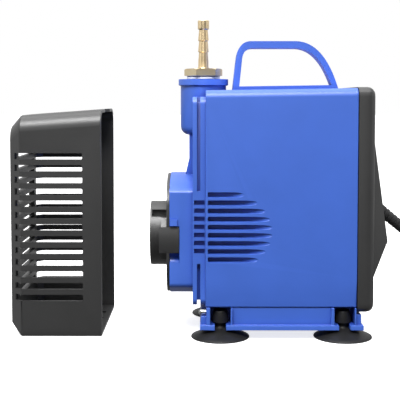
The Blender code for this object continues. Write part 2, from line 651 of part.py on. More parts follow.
def rotor_parts(ceramic, rubber, magnet, plastic, can):
    axis = (0, 0, AXIS_Z)
    bore = SHAFT_RADIUS + RUNNING_GAP
    turned("rotor_shaft", rod(SHAFT_RADIUS, *SHAFT_X), "X", axis, 16, ceramic)
    turned("shaft_bush_front", ring(bore, BUSH_RADIUS, -27.8 * MM, -20.6 * MM), "X", axis, 16,
           rubber)
    turned("shaft_bush_rear", ring(bore, BUSH_RADIUS, 56.5 * MM, 60.8 * MM), "X", axis, 16,
           rubber)
    turned("thrust_washer_front", ring(bore, 4.8 * MM, -20.1 * MM, -18.6 * MM), "X", axis, 16,
           ceramic)
    turned("thrust_washer_rear", ring(bore, 4.8 * MM, 53.2 * MM, 54.8 * MM), "X", axis, 16,
           ceramic)
    turned("rotor_magnet", ring(bore, MAGNET_RADIUS, *MAGNET_X), "X", axis, 28, magnet)

    wheel = turned("impeller", [(bore, -18.1 * MM), (6.5 * MM, -18.1 * MM), (7.5 * MM, -16 * MM),
                                (7.5 * MM, -7.5 * MM), (IMPELLER_RADIUS, -7.0 * MM),
                                (IMPELLER_RADIUS, -5.0 * MM), (9.5 * MM, -5.0 * MM),
                                (9.5 * MM, 11.6 * MM), (bore, 11.6 * MM)], "X", axis, 32, plastic)
    vanes = bmesh.new()
    vane_half = 1.0 * MM
    for i in range(IMPELLER_VANES):
        verts = add_box(vanes, (-16.4 * MM, -6.0 * MM), (6.8 * MM, IMPELLER_RADIUS - 0.6 * MM),
                        (-vane_half, vane_half))
        bmesh.ops.rotate(vanes, verts=verts, cent=(0, 0, 0),
                         matrix=Matrix.Rotation(i * math.tau / IMPELLER_VANES, 3, "X"))
        bmesh.ops.translate(vanes, verts=verts, vec=axis)
    weld(wheel, add_object("impeller_vanes", vanes))

    left, right = CAN_X
    pocket_start, pocket_end = right - 7.0 * MM, right - 1.8 * MM
    turned("rotor_can", [(0.0, right), (7.4 * MM, right), (7.4 * MM, right - 5.0 * MM),
                         (CAN_OUTER, right - 5.0 * MM), (CAN_OUTER, left + 2.0 * MM),
                         (CAN_FLANGE, left + 2.0 * MM), (CAN_FLANGE, left), (CAN_INNER, left),
                         (CAN_INNER, pocket_start), (BUSH_RADIUS + GAP, pocket_start),
                         (BUSH_RADIUS + GAP, pocket_end), (0.0, pocket_end)],
           "X", axis, 28, can)


# ---------------------------------------------------------------- motor windings

STACK_X = (26.0 * MM, 54.0 * MM)
LEG_Y = (8.5 * MM, 28.0 * MM)
LEG_Z = (44.0 * MM, 150.0 * MM)
YOKE_BOTTOM = 132.0 * MM
BOBBIN_Z = (90.0 * MM, 129.5 * MM)
BOBBIN_REACH = 17.4 * MM
BOBBIN_DEPTH = 21.4 * MM
BOBBIN_WALL = 1.2 * MM


def stator(steel, plastic, copper):
    legs = [(STACK_X, (side * LEG_Y[0], side * LEG_Y[1]), LEG_Z) for side in (-1, 1)]
    core = boxes("stator_core", [(STACK_X, (-LEG_Y[1], LEG_Y[1]), (YOKE_BOTTOM, LEG_Z[1]))],
                 steel)
    weld(core, boxes("stator_legs", legs))
    cut(core, turned("stator_bore", rod(CAN_OUTER + 0.4 * MM, STACK_X[0] - PAST,
                                        STACK_X[1] + PAST), "X", (0, 0, AXIS_Z), 36))
    middle_x = sum(STACK_X) / 2
    for side, label in ((-1, "near"), (1, "far")):
        middle_y = side * sum(LEG_Y) / 2
        leg_half = (LEG_Y[1] - LEG_Y[0]) / 2 + GAP
        stack_half = (STACK_X[1] - STACK_X[0]) / 2 + GAP

        def block(half_x, half_y, z):
            return ((middle_x - half_x, middle_x + half_x),
                    (middle_y - half_y, middle_y + half_y), z)

        tube_x, tube_y = stack_half + BOBBIN_WALL, leg_half + BOBBIN_WALL
        bobbin = boxes(f"coil_bobbin_{label}", [block(tube_x, tube_y, BOBBIN_Z)], plastic)
        cheeks = [block(BOBBIN_DEPTH, BOBBIN_REACH, (z, z + BOBBIN_WALL))
                  for z in (BOBBIN_Z[0], BOBBIN_Z[1] - BOBBIN_WALL)]
        weld(bobbin, boxes(f"bobbin_cheeks_{label}", cheeks))
        through = (BOBBIN_Z[0] - PAST, BOBBIN_Z[1] + PAST)
        cut(bobbin, boxes(f"bobbin_bore_{label}", [block(stack_half, leg_half, through)]))

        inside = (BOBBIN_Z[0] + BOBBIN_WALL + GAP, BOBBIN_Z[1] - BOBBIN_WALL - GAP)
        corner = 4.0 * MM
        winding = boxes(f"coil_winding_{label}",
                        [block(BOBBIN_DEPTH - 0.8 * MM, BOBBIN_REACH - 0.5 * MM, inside)], copper)
        edge = winding.modifiers.new("rounded_corners", "BEVEL")
        edge.width = corner
        edge.segments = 3
        edge.limit_method = "WEIGHT"
        weights = winding.data.attributes.new("bevel_weight_edge", "FLOAT", "EDGE")
        for index, item in enumerate(winding.data.edges):
            ends = [winding.data.vertices[v].co for v in item.vertices]
            weights.data[index].value = 1.0 if abs(ends[0].z - ends[1].z) > PAST else 0.0
        cut(winding, boxes(f"winding_bore_{label}", [block(tube_x + GAP, tube_y + GAP, through)]))


def potting_resin(material):
    """Resin that fills the housing round the motor, up to the yoke."""
    bottom, top = HOUSING_BOTTOM + ROOF_WALL + GAP, 126 * MM
    inside = HALF_WIDTH - SIDE_WALL - 2 * GAP
    block = boxes("potting_resin", [((22.0 * MM, 91.0 * MM), (-inside + 2 * MM, inside - 2 * MM),
                                     (bottom, top))], material)
    wells = [((STACK_X[0] - GAP, STACK_X[1] + GAP), (-LEG_Y[1] - GAP, LEG_Y[1] + GAP),
              (LEG_Z[0] - GAP, top + PAST))]
    middle_x = sum(STACK_X) / 2
    reach = BOBBIN_DEPTH + GAP
    coil_half = sum(LEG_Y) / 2 + BOBBIN_REACH + GAP
    coil_well = [((middle_x - reach, middle_x + reach), (-coil_half, coil_half),
                  (BOBBIN_Z[0] - GAP, top + PAST))]
    can_bore = turned("can_bore", rod(CAN_OUTER + 0.4 * MM, 20 * MM, CAN_X[1] + GAP), "X",
                      (0, 0, AXIS_Z), 36)
    cut(block, boxes("leg_well", wells), boxes("coil_well", coil_well), can_bore)


# ---------------------------------------------------------------- outlet and handle

def hose_tail(brass, fibre):
    centre = (OUTLET_X, 0, 0)
    turned("outlet_washer", ring(THREAD_RADIUS + GAP, 11.8 * MM, 179.3 * MM, 180.5 * MM), "Z",
           centre, 32, fibre)
    barb = [(6.9, 166.5), (9.4, 166.5), (10.48, 167.6), (10.48, 180.8), (12.1, 180.8),
            (12.1, 182.0), (4.2, 182.0), (3.7, 187.6), (3.7, 192.0), (3.2, 198.4), (3.85, 198.8),
            (3.15, 206.4), (3.85, 206.8), (3.15, 214.6), (4.1, 215.2), (4.1, 220.8), (3.8, 221.3),
            (2.3, 221.3), (2.3, 176.0), (6.9, 174.0)]
    tail = turned("brass_hose_tail", [(r * MM, z * MM) for r, z in barb], "Z", centre, 24, brass)
    across_flats = 24.0 * MM
    corner = across_flats / math.sqrt(3)
    first = math.radians(8)
    outline = [(OUTLET_X + corner * math.cos(first + i * math.tau / 6),
                corner * math.sin(first + i * math.tau / 6)) for i in range(6)]
    nut = prism("hexagon", outline, "Z", 181.4 * MM, 186.6 * MM)
    nut_bore = turned("hexagon_bore", rod(3.0 * MM, 180 * MM, 188 * MM), "Z", centre, 16)
    cut(nut, nut_bore)
    weld(tail, nut)


def roof_height(x):
    share = (x - HOUSING_X[0]) / (HOUSING_X[1] - HOUSING_X[0])
    return HOUSING_TOP + HOUSING_TOP_RISE * share


def carry_handle(material):
    outer_left, outer_right = 23.3 * MM, 98.9 * MM
    outer_corner, inner_corner = (25.6 * MM, 192.0 * MM), (30.2 * MM, 193.4 * MM)
    seat = GAP
    strip = 2.4 * MM
    inner_top = HANDLE_TOP - HANDLE_STRAP
    outer = [(outer_left, roof_height(outer_left) + seat), outer_corner]
    outer += bezier(outer_corner, (27.0 * MM, HANDLE_TOP), (36.5 * MM, HANDLE_TOP), 6)[1:]
    outer += bezier((68.0 * MM, HANDLE_TOP), (88.5 * MM, HANDLE_TOP),
                    (outer_right, roof_height(outer_right) + seat), 10)
    inner_left, inner_right = 28.2 * MM, 94.2 * MM
    inner = [(inner_left, roof_height(inner_left) + seat + strip), inner_corner]
    inner += bezier(inner_corner, (31.2 * MM, inner_top), (37.8 * MM, inner_top), 6)[1:]
    inner += bezier((68.0 * MM, inner_top), (84.6 * MM, inner_top),
                    (inner_right, roof_height(inner_right) + seat + strip), 10)
    strap = prism("carry_handle", outer, "Y", -HANDLE_HALF_WIDTH, HANDLE_HALF_WIDTH, material,
                  smooth=True)
    cut(strap, prism("handle_window", inner, "Y", -HANDLE_HALF_WIDTH - PAST,
                     HANDLE_HALF_WIDTH + PAST))


# ---------------------------------------------------------------- back cover

def wedge(name, inset, base_x):
    """Four-sided ridge on the back cover, moved in by the wall's thickness."""
    low, high = WEDGE_Z[0] + inset, WEDGE_Z[1] - 2 * inset
    peak_x, peak_z = WEDGE_PEAK[0] - inset, WEDGE_PEAK[1]
    base_half, peak_half = (half - inset for half in WEDGE_HALF_WIDTHS)
    return hull(name, [(base_x, side * base_half, z) for side in (-1, 1) for z in (low, high)]
                + [(peak_x, side * peak_half, peak_z) for side in (-1, 1)])


def exit_axis(distance):
    """Point on the cord's exit line, measured out from the face of the wedge."""
    return (EXIT_POINT[0] + distance * math.cos(EXIT_ANGLE), 0.0,
            EXIT_POINT[2] + distance * math.sin(EXIT_ANGLE))


def along_exit(obj):
    """Turn a piece made round Z onto the exit line."""
    obj.matrix_world = (Matrix.Translation(exit_axis(0.0))
                        @ Matrix.Rotation(math.pi / 2 - EXIT_ANGLE, 4, "Y"))
    return obj


def back_cover(material):
    left, right = BACK_X
    bm = bmesh.new()
    far = add_prism(bm, rounded_rect(HALF_WIDTH, BACK_Z, BACK_CORNER), "X", left, right)
    rim = [edge for edge in bm.edges if all(vertex in far for vertex in edge.verts)]
    bmesh.ops.bevel(bm, geom=rim, offset=BACK_EDGE, segments=4, profile=0.5, affect="EDGES")
    cover = add_object("back_cover", bm, material, smooth=True)
    weld(cover, wedge("wedge", 0.0, right - PAST))
    inner_z = (BACK_Z[0] + BACK_WALL, BACK_Z[1] - BACK_WALL)
    cut(cover, prism("cover_cavity", rounded_rect(HALF_WIDTH - BACK_WALL, inner_z, 3 * MM), "X",
                     left - PAST, right - 3.4 * MM))
    cut(cover, wedge("wedge_cavity", 2.6 * MM, right - 4.4 * MM))
    hole_radius = GLAND_RADII[0] + GAP
    cut(cover, along_exit(turned("gland_hole", rod(hole_radius, -15 * MM, 12 * MM), "Z",
                                 (0, 0, 0), 16)))
    posts = bmesh.new()
    for y, z in corner_places(CORNER_Z):
        add_turned(posts, rod(BOSS_RADIUS, left + GAP, right - 2 * PAST), "X", (0, y, z), 12)
    weld(cover, add_object("cover_posts", posts))

    seal_z = (BACK_Z[0] + 1.3 * MM, BACK_Z[1] - 1.3 * MM)
    seal_inner_z = (BACK_Z[0] + 3.4 * MM, BACK_Z[1] - 3.4 * MM)
    seal_groove = prism("gasket_groove", rounded_rect(HALF_WIDTH - 1.3 * MM, seal_z, 5.2 * MM), "X",
                    left - PAST, left + 1.8 * MM)
    core = prism("gasket_groove_core", rounded_rect(HALF_WIDTH - 3.4 * MM, seal_inner_z, 3.4 * MM),
                 "X", left - 2 * PAST, left + 3 * MM)
    cut(seal_groove, core)
    holes = bmesh.new()
    for y, z in corner_places(CORNER_Z):
        add_turned(holes, [(0.0, left - PAST), (1.9 * MM, left - PAST),
                           (1.9 * MM, right - 3.2 * MM), (3.6 * MM, right - 3.2 * MM),
                           (3.6 * MM, right + PAST), (0.0, right + PAST)], "X", (0, y, z), 10)
    cut(cover, seal_groove, add_object("cover_screw_holes", holes))


def back_gasket(material):
    left = BACK_X[0]
    trim = 1.7 * MM
    inner = 3.0 * MM
    gasket = prism("back_cover_gasket",
                   rounded_rect(HALF_WIDTH - trim, (BACK_Z[0] + trim, BACK_Z[1] - trim), 4.8 * MM),
                   "X", left, left + 1.4 * MM, material)
    cut(gasket, prism("gasket_window", rounded_rect(HALF_WIDTH - inner, (BACK_Z[0] + inner,
                                                    BACK_Z[1] - inner), 3.6 * MM),
                      "X", left - PAST, left + 3 * MM))


# ---------------------------------------------------------------- strainer

def strainer_section(inset, x_share):
    """Outline across the strainer: sharp floor edges, rounded shoulders, sloping roof."""
    wide = STRAINER_HALF_WIDTH - inset
    low = inset
    high = STRAINER_HEIGHT - STRAINER_SLOPE * (1 - x_share) - inset
    radius = STRAINER_SHOULDER - inset
    right = [(wide, low)]
    right += arc((wide - radius, high - radius), radius, 0, math.pi / 2, 5)
    return [(STRAINER_Y + y, z) for y, z in right + [(-y, z) for y, z in reversed(right)]]


def strainer_shell(name, inset, end_wall, mouth, material=None):
    """Box with a chamfered closed end, made by joining three outlines."""
    left, right = STRAINER_X
    length = right - left
    bm = bmesh.new()
    shares = (STRAINER_CHAMFER / length, 1.0)
    loops = []
    for x, share in ((left + STRAINER_CHAMFER + inset * 0.414, shares[0]), (mouth, shares[1])):
        loops.append([bm.verts.new((x, y, z)) for y, z in strainer_section(inset, share)])
    nose = []
    middle_z = (STRAINER_HEIGHT - STRAINER_SLOPE) / 2
    nose_inset = STRAINER_CHAMFER + inset * 1.414 - end_wall
    nose_wide = STRAINER_HALF_WIDTH - nose_inset
    nose_high = middle_z - nose_inset
    for vertex in loops[0]:
        y = vertex.co.y - STRAINER_Y
        z = vertex.co.z - middle_z
        reach_y = STRAINER_HALF_WIDTH - inset
        reach_z = middle_z - inset
        nose.append(bm.verts.new((left + end_wall, STRAINER_Y + y * nose_wide / reach_y,
                                  middle_z + z * nose_high / reach_z)))
    loops.insert(0, nose)
    for first, second in zip(loops, loops[1:]):
        edges = []
        for loop in (first, second):
            for i, vertex in enumerate(loop):
                pair = (vertex, loop[(i + 1) % len(loop)])
                edges.append(bm.edges.get(pair) or bm.edges.new(pair))
        bmesh.ops.bridge_loops(bm, edges=edges)
    bm.faces.new(loops[0])
    bm.faces.new(loops[-1])
    return add_object(name, bm, material, smooth=True)


def strainer(material):
    left, right = STRAINER_X
    shell = strainer_shell("strainer", 0.0, 0.0, right, material)
    cut(shell, strainer_shell("strainer_cavity", STRAINER_WALL, STRAINER_END_WALL,
                              right + PAST))
    slots = []
    near, far = STRAINER_Y - STRAINER_HALF_WIDTH, STRAINER_Y + STRAINER_HALF_WIDTH
    post = 8.0 * MM
    for row in range(SLOT_ROWS):
        middle = SLOT_FIRST + row * SLOT_PITCH
        z = (middle - SLOT_HEIGHT / 2, middle + SLOT_HEIGHT / 2)
        slots.append(((left + 3.5 * MM, SLOT_END_X), (near - PAST, far + PAST), z))
    side_slots = boxes("side_slots", slots)
    core = boxes("side_slot_core", [((left - PAST, right + PAST),
                                     (near + STRAINER_CHAMFER + 1.2 * MM,
                                      far - STRAINER_CHAMFER - 1.2 * MM), (0.0, 170 * MM))])
    cut(side_slots, core)
    end_slots = [((left - PAST, left + STRAINER_END_WALL + PAST),
                  (near + STRAINER_CHAMFER + post, far - STRAINER_CHAMFER - post), z)
                 for _, _, z in slots]
    notch_half = OUTLET_RADIUS + 0.8 * MM
    notch_centre = right + OUTLET_X + 0.3 * MM
    outline = arc((notch_centre, STRAINER_Y), notch_half, math.pi / 2, 3 * math.pi / 2, 10)
    outline += [(right + 6 * MM, STRAINER_Y - notch_half), (right + 6 * MM,
                                                            STRAINER_Y + notch_half)]
    notch = prism("outlet_notch", outline, "Z", 120 * MM, 170 * MM)
    drains = [((right - 7 * MM, right - 4 * MM), (STRAINER_Y + y * MM, STRAINER_Y + (y + 4) * MM),
               (-PAST, STRAINER_WALL + PAST)) for y in (-21, -2, 17)]
    cut(shell, side_slots, boxes("end_slots", end_slots), notch, boxes("drain_holes", drains))


# ---------------------------------------------------------------- cord

def smooth_route(route, spacing):
    """Even points on a smooth curve through the route's own points (millimetres in)."""
    knots = [Vector(point) * MM for point in route]
    padded = [2 * knots[0] - knots[1]] + knots + [2 * knots[-1] - knots[-2]]
    dense = []
    fine = 12
    for a, b, c, d in zip(padded, padded[1:], padded[2:], padded[3:]):
        for i in range(fine):
            t = i / fine
            dense.append(0.5 * (2 * b + (c - a) * t + (2 * a - 5 * b + 4 * c - d) * t ** 2
                                + (3 * b - a - 3 * c + d) * t ** 3))
    dense.append(knots[-1])
    reach = [0.0]
    for first, second in zip(dense, dense[1:]):
        reach.append(reach[-1] + (second - first).length)
    count = max(2, round(reach[-1] / spacing))
    points = []
    for k in range(count + 1):
        target = reach[-1] * k / count
        i = next(j for j in range(1, len(reach)) if reach[j] >= target - WELD)
        share = (target - reach[i - 1]) / (reach[i] - reach[i - 1])
        points.append(dense[i - 1].lerp(dense[i], share))
    return points


def cord_tube(name, route, material):
    curve = bpy.data.curves.new(name, "CURVE")
    curve.dimensions = "3D"
    curve.bevel_depth = CORD_RADIUS
    curve.bevel_resolution = 2
    curve.use_fill_caps = True
    points = smooth_route(route, 2 * CORD_DIAMETER)
    spline = curve.splines.new("POLY")
    spline.points.add(len(points) - 1)
    for point, place in zip(spline.points, points):
        point.co = (*place, 1.0)
    curve.materials.append(material)
    obj = bpy.data.objects.new(name, curve)
    bpy.context.collection.objects.link(obj)


def cord_coil(material):
    """Outer shape of the wound turns, lying on the floor."""
    inner = COIL_TURN_RADII[0] - CORD_RADIUS
    outer = COIL_TURN_RADII[-1] + CORD_RADIUS
    high = COIL_LAYERS * CORD_DIAMETER
    soft = 2.6 * MM
    turned("cord_coil", [(inner, soft), (inner + soft, 0.0), (outer - soft, 0.0), (outer, soft),
                         (outer, high - soft), (outer - soft, high), (inner + soft, high),
                         (inner, high - soft)], "Z", (*COIL_CENTRE, 0), 40, material)


def cord_tie(material):
    """Strap that grips the turns from above."""
    inner = COIL_TURN_RADII[0] - CORD_RADIUS - GAP
    outer = COIL_TURN_RADII[-1] + CORD_RADIUS + GAP
    high = COIL_LAYERS * CORD_DIAMETER + GAP
    thick, half = 1.4 * MM, 3.0 * MM
    x, y = COIL_CENTRE
    sag = half ** 2 / (2 * inner) + GAP
    tie = boxes("cord_tie", [((x + inner - thick - sag, x + outer + thick), (y - half, y + half),
                              (0.2 * MM, high + thick))], material)
    cut(tie, boxes("cord_tie_window", [((x + inner - sag, x + outer), (y - half - PAST,
                                                                       y + half + PAST),
                                        (-PAST, high))]))


def mains_plug(rubber, metal):
    """Moulded plug lying on the coil, its blades pointing to -X."""
    tail, face = PLUG_X
    body_start = tail - 18.0 * MM
    bm = bmesh.new()
    add_turned(bm, [(0.0, tail), (4.6 * MM, tail), (5.6 * MM, body_start - PAST),
                    (0.0, body_start - PAST)], "X", (0, PLUG_Y, PLUG_Z), 12)
    plug = add_object("mains_plug", bm, rubber, smooth=True)
    half_y, half_z = 13.0 * MM, 11.0 * MM
    neck_y, neck_z = 8.0 * MM, 8.0 * MM
    shoulder = 12.0 * MM
    corners = [(-1, -1), (-1, 1), (1, 1), (1, -1)]
    points = [(body_start, PLUG_Y + a * neck_y, PLUG_Z + b * neck_z) for a, b in corners]
    points += [(x, PLUG_Y + a * half_y, PLUG_Z + b * half_z) for a, b in corners
               for x in (body_start - shoulder, face)]
    weld(plug, hull("plug_body", points))
    pins = [("plug_blade_line", (-6.35, 3.0), (0.75, 3.2), 16.0),
            ("plug_blade_neutral", (6.35, 3.0), (0.75, 3.2), 16.0)]
    for name, (y, z), (half_thick, half_tall), length in pins:
        boxes(name, [((face - length * MM, face - GAP),
                      (PLUG_Y + (y - half_thick) * MM, PLUG_Y + (y + half_thick) * MM),
                      (PLUG_Z + (z - half_tall) * MM, PLUG_Z + (z + half_tall) * MM))], metal)
    turned("plug_pin_earth", [(0.0, face - 19 * MM), (1.5 * MM, face - 19 * MM),
                              (2.4 * MM, face - 17.5 * MM), (2.4 * MM, face - GAP),
                              (0.0, face - GAP)], "X", (0, PLUG_Y, PLUG_Z - 6 * MM), 12, metal)


def strain_relief(material):
    start, end = GLAND_RADII
    flange = 5.6 * MM
    profile = [(0.0, -GLAND_INSIDE - 2 * MM), (flange, -GLAND_INSIDE - 2 * MM),
               (flange, -GLAND_INSIDE), (start, -GLAND_INSIDE), (start, 2 * MM),
               (end, GLAND_LENGTH), (0.0, GLAND_LENGTH)]
    along_exit(turned("cord_strain_relief", profile, "Z", (0, 0, 0), 16, material))


# ---------------------------------------------------------------- whole pump

def build():
    clear_scene()
    blue = finish("blue_plastic", (0.062, 0.165, 0.70), 0.38, 0.0)
    black = finish("black_plastic", (0.042, 0.042, 0.042), 0.42, 0.0)
    rubber = finish("black_rubber", (0.022, 0.022, 0.022), 0.65, 0.0)
    cord_rubber = finish("cord_rubber", (0.024, 0.024, 0.024), 0.5, 0.0)
    brass = finish("brass", (0.72, 0.55, 0.28), 0.25, 1.0)
    steel = finish("screw_steel", (0.55, 0.56, 0.55), 0.3, 1.0)
    laminations = finish("core_steel", (0.28, 0.28, 0.30), 0.5, 0.9)
    ceramic = finish("ceramic", (0.82, 0.80, 0.75), 0.25, 0.0)
    ferrite = finish("magnet", (0.09, 0.09, 0.10), 0.5, 0.2)
    copper = finish("copper", (0.60, 0.26, 0.12), 0.3, 1.0)
    white = finish("white_nylon", (0.72, 0.72, 0.68), 0.5, 0.0)
    resin = finish("resin", (0.05, 0.05, 0.055), 0.4, 0.0)
    fibre = finish("fibre", (0.75, 0.72, 0.66), 0.7, 0.0)

    motor_housing(blue)
    base_rail(blue)
    pump_head(blue)
    carry_handle(blue)
    volute_cover(black)
    back_cover(black)
    back_gasket(rubber)
    strainer(black)
    hose_tail(brass, fibre)
    rotor_parts(ceramic, rubber, ferrite, white, black)
    stator(laminations, white, copper)
    potting_resin(resin)

    axis = (0, 0, AXIS_Z)
    turned("cover_o_ring", round_ring(34.15 * MM, 0.8 * MM, -18.9 * MM), "X", axis, 28, rubber)
    turned("can_o_ring", round_ring(19.0 * MM, 0.9 * MM, 3.0 * MM), "X", axis, 24, rubber)
    for number, place in enumerate(corner_places(HEAD_CORNER_Z), 1):
        pan_screw(f"pump_head_screw_{number}", place, FLANGE_X[0] + 0.3 * MM, 17 * MM, steel)
    for number, place in enumerate(corner_places(CORNER_Z), 1):
        pan_screw(f"back_cover_screw_{number}", place, BACK_X[1] - 0.4 * MM, 22 * MM, steel,
                  towards=-1)
    for number, side in enumerate((-1, 1), 1):
        base_screw(f"base_screw_{number}", side * BASE_SCREW_Y, steel)
    foot_places = [(x, side * FOOT_Y) for x in FOOT_X for side in (-1, 1)]
    for number, (x, y) in enumerate(foot_places, 1):
        suction_foot(f"suction_foot_{number}", x, y, rubber)
    strain_relief(cord_rubber)
    cord_tube("power_cord", CORD_ROUTE, cord_rubber)
    cord_coil(cord_rubber)
    cord_tube("cord_tail", TAIL_ROUTE, cord_rubber)
    cord_tie(cord_rubber)
    mains_plug(cord_rubber, steel)


build()
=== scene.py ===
"""Looks of the submersible fountain pump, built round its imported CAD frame. Metres, +Z up."""

import json
import math

import bmesh
import bpy
from mathutils import Matrix, Vector


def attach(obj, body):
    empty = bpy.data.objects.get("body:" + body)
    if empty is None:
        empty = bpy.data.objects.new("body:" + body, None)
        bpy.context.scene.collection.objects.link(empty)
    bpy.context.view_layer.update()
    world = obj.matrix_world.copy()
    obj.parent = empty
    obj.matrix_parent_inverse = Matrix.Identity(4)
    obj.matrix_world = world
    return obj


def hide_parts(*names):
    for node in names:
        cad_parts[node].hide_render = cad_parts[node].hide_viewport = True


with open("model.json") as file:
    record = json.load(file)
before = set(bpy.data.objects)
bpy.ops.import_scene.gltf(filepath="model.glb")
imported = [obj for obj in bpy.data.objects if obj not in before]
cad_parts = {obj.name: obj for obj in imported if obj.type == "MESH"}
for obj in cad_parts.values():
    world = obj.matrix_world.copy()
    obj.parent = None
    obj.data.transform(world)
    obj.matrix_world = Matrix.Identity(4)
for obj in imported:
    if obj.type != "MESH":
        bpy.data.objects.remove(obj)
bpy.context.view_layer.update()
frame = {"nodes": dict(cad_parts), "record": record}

MM = 0.001
AXIS_Z = 67.7 * MM                    # height of the motor's axis


# ---------------------------------------------------------------- camera

CAMERA_PLACE = (0.00272, -0.6796, 0.16505)
CAMERA_TILT = math.radians(90 - 3.255)
CAMERA_TURN = math.radians(0.226)
CAMERA_LENS = 84.336
CAMERA_SHIFT = -0.12


def add_camera():
    data = bpy.data.cameras.new("camera")
    data.lens = CAMERA_LENS
    data.sensor_width = 36.0
    data.shift_y = CAMERA_SHIFT
    data.clip_start, data.clip_end = 0.02, 40.0
    camera = bpy.data.objects.new("camera", data)
    camera.location = CAMERA_PLACE
    camera.rotation_euler = (CAMERA_TILT, 0.0, CAMERA_TURN)
    bpy.context.collection.objects.link(camera)
    bpy.context.scene.camera = camera


add_camera()


# ---------------------------------------------------------------- mesh tools

SAME_POINT = 0.0005 * MM              # vertices of a new mesh nearer than this are one
SAME_CORNER = 0.002 * MM              # and those of a mesh that has been cut or copied
FLAT = math.radians(0.6)              # faces that meet at less than this are one face


def link(obj):
    bpy.context.collection.objects.link(obj)
    return obj


def add_object(name, bm, smooth=35):
    """Weld the mesh, turn its faces outwards and link it as a new object."""
    bmesh.ops.remove_doubles(bm, verts=bm.verts, dist=SAME_POINT)
    bmesh.ops.recalc_face_normals(bm, faces=bm.faces)
    mesh = bpy.data.meshes.new(name)
    bm.to_mesh(mesh)
    bm.free()
    mesh.shade_smooth()
    mesh.set_sharp_from_angle(angle=math.radians(smooth))
    return link(bpy.data.objects.new(name, mesh))


def bake(obj):
    """Apply every modifier to the mesh."""
    graph = bpy.context.evaluated_depsgraph_get()
    mesh = bpy.data.meshes.new_from_object(obj.evaluated_get(graph), depsgraph=graph)
    obj.modifiers.clear()
    obj.data = mesh
    return obj


def combine(target, tool, operation):
    """Boolean of the two meshes; the tool is used up."""
    modifier = target.modifiers.new("join", "BOOLEAN")
    modifier.operation = operation
    modifier.solver = "EXACT"
    modifier.object = tool
    bake(target)
    bpy.data.objects.remove(tool, do_unlink=True)
    return target


def cut(target, *tools):
    for tool in tools:
        combine(target, tool, "DIFFERENCE")
    return target


def weld(target, *tools):
    for tool in tools:
        combine(target, tool, "UNION")
    return target


def even_shading(obj, sharp=30):
    """Keep large faces flat in the shading where small ones meet them."""
    obj.data.shade_smooth()
    obj.data.set_sharp_from_angle(angle=math.radians(sharp))
    weighting = obj.modifiers.new("weighting", "WEIGHTED_NORMAL")
    weighting.mode, weighting.weight, weighting.keep_sharp = "FACE_AREA", 100, True
    return bake(obj)


def join_flat_faces(obj):
    """Join triangles that lie in one plane into whole faces."""
    bm = bmesh.new()
    bm.from_mesh(obj.data)
    bmesh.ops.remove_doubles(bm, verts=bm.verts, dist=SAME_CORNER)
    bmesh.ops.dissolve_limit(bm, angle_limit=FLAT, verts=bm.verts, edges=bm.edges,
                             use_dissolve_boundaries=False)
    bm.to_mesh(obj.data)
    bm.free()
    return obj


def edge_round(obj, width, segments=2, angle=28, smooth=40):
    """Round every edge sharper than the angle, in degrees."""
    join_flat_faces(obj)
    bevel = obj.modifiers.new("edge", "BEVEL")
    bevel.width = width
    bevel.segments = segments
    bevel.limit_method = "ANGLE"
    bevel.angle_limit = math.radians(angle)
    bevel.use_clamp_overlap = True
    bevel.miter_outer = "MITER_ARC"
    bake(obj)
    return even_shading(obj, smooth)


def from_cad(node, name):
    """A new object with a copy of a CAD node's mesh."""
    source = frame["nodes"][node]
    mesh = source.data.copy()
    mesh.transform(source.matrix_world)
    mesh.materials.clear()
    return link(bpy.data.objects.new(name, mesh))


def add_box(bm, x, y, z):
    lows, highs = zip(*(sorted(pair) for pair in (x, y, z)))
    size = [high - low for low, high in zip(lows, highs)]
    centre = [(high + low) / 2 for low, high in zip(lows, highs)]
    matrix = Matrix.Translation(centre) @ Matrix.Diagonal((*size, 1.0))
    return bmesh.ops.create_cube(bm, size=1.0, matrix=matrix)["verts"]


def on_axis(axis, a, b, along):
    """The point at that distance along the axis, with a and b on the other two."""
    return {"X": (along, a, b), "Y": (a, along, b), "Z": (a, b, along)}[axis]


def add_skin(bm, loops):
    """Faces between neighbouring loops of vertices, and one over each end."""
    for first, second in zip(loops, loops[1:]):
        for i in range(len(first)):
            j = (i + 1) % len(first)
            bm.faces.new((first[i], first[j], second[j], second[i]))
    bm.faces.new(loops[0])
    bm.faces.new(loops[-1])


def add_prism(bm, outline, axis, start, end):
    verts = [bm.verts.new(on_axis(axis, a, b, start)) for a, b in outline]
    face = bm.faces.new(verts)
    pushed = bmesh.ops.extrude_face_region(bm, geom=[face])["geom"]
    far = [item for item in pushed if isinstance(item, bmesh.types.BMVert)]
    bmesh.ops.translate(bm, verts=far, vec=on_axis(axis, 0.0, 0.0, end - start))
    return far


def add_turned(bm, profile, axis, centre, steps):
    """Spin a profile of (radius, distance along the axis) points about the axis."""
    direction = Vector(on_axis(axis, 0.0, 0.0, 1.0))
    outward = Vector(on_axis(axis, 1.0, 0.0, 0.0))
    verts = [bm.verts.new(Vector(centre) + outward * r + direction * along)
             for r, along in profile]
    pairs = list(zip(verts, verts[1:]))
    if profile[0][0] > 0.0 or profile[-1][0] > 0.0:
        pairs.append((verts[-1], verts[0]))
    edges = [bm.edges.new(pair) for pair in pairs]
    bmesh.ops.spin(bm, geom=verts + edges, cent=centre, axis=direction,
                   angle=math.tau, steps=steps, use_merge=True)


def turned(name, profile, axis, centre, steps, smooth=35):
    bm = bmesh.new()
    add_turned(bm, profile, axis, centre, steps)
    return add_object(name, bm, smooth)


def arc(centre, radius, start, end, steps):
    turn = (end - start) / steps
    return [(centre[0] + radius * math.cos(start + i * turn),
             centre[1] + radius * math.sin(start + i * turn)) for i in range(steps + 1)]


# ---------------------------------------------------------------- cord

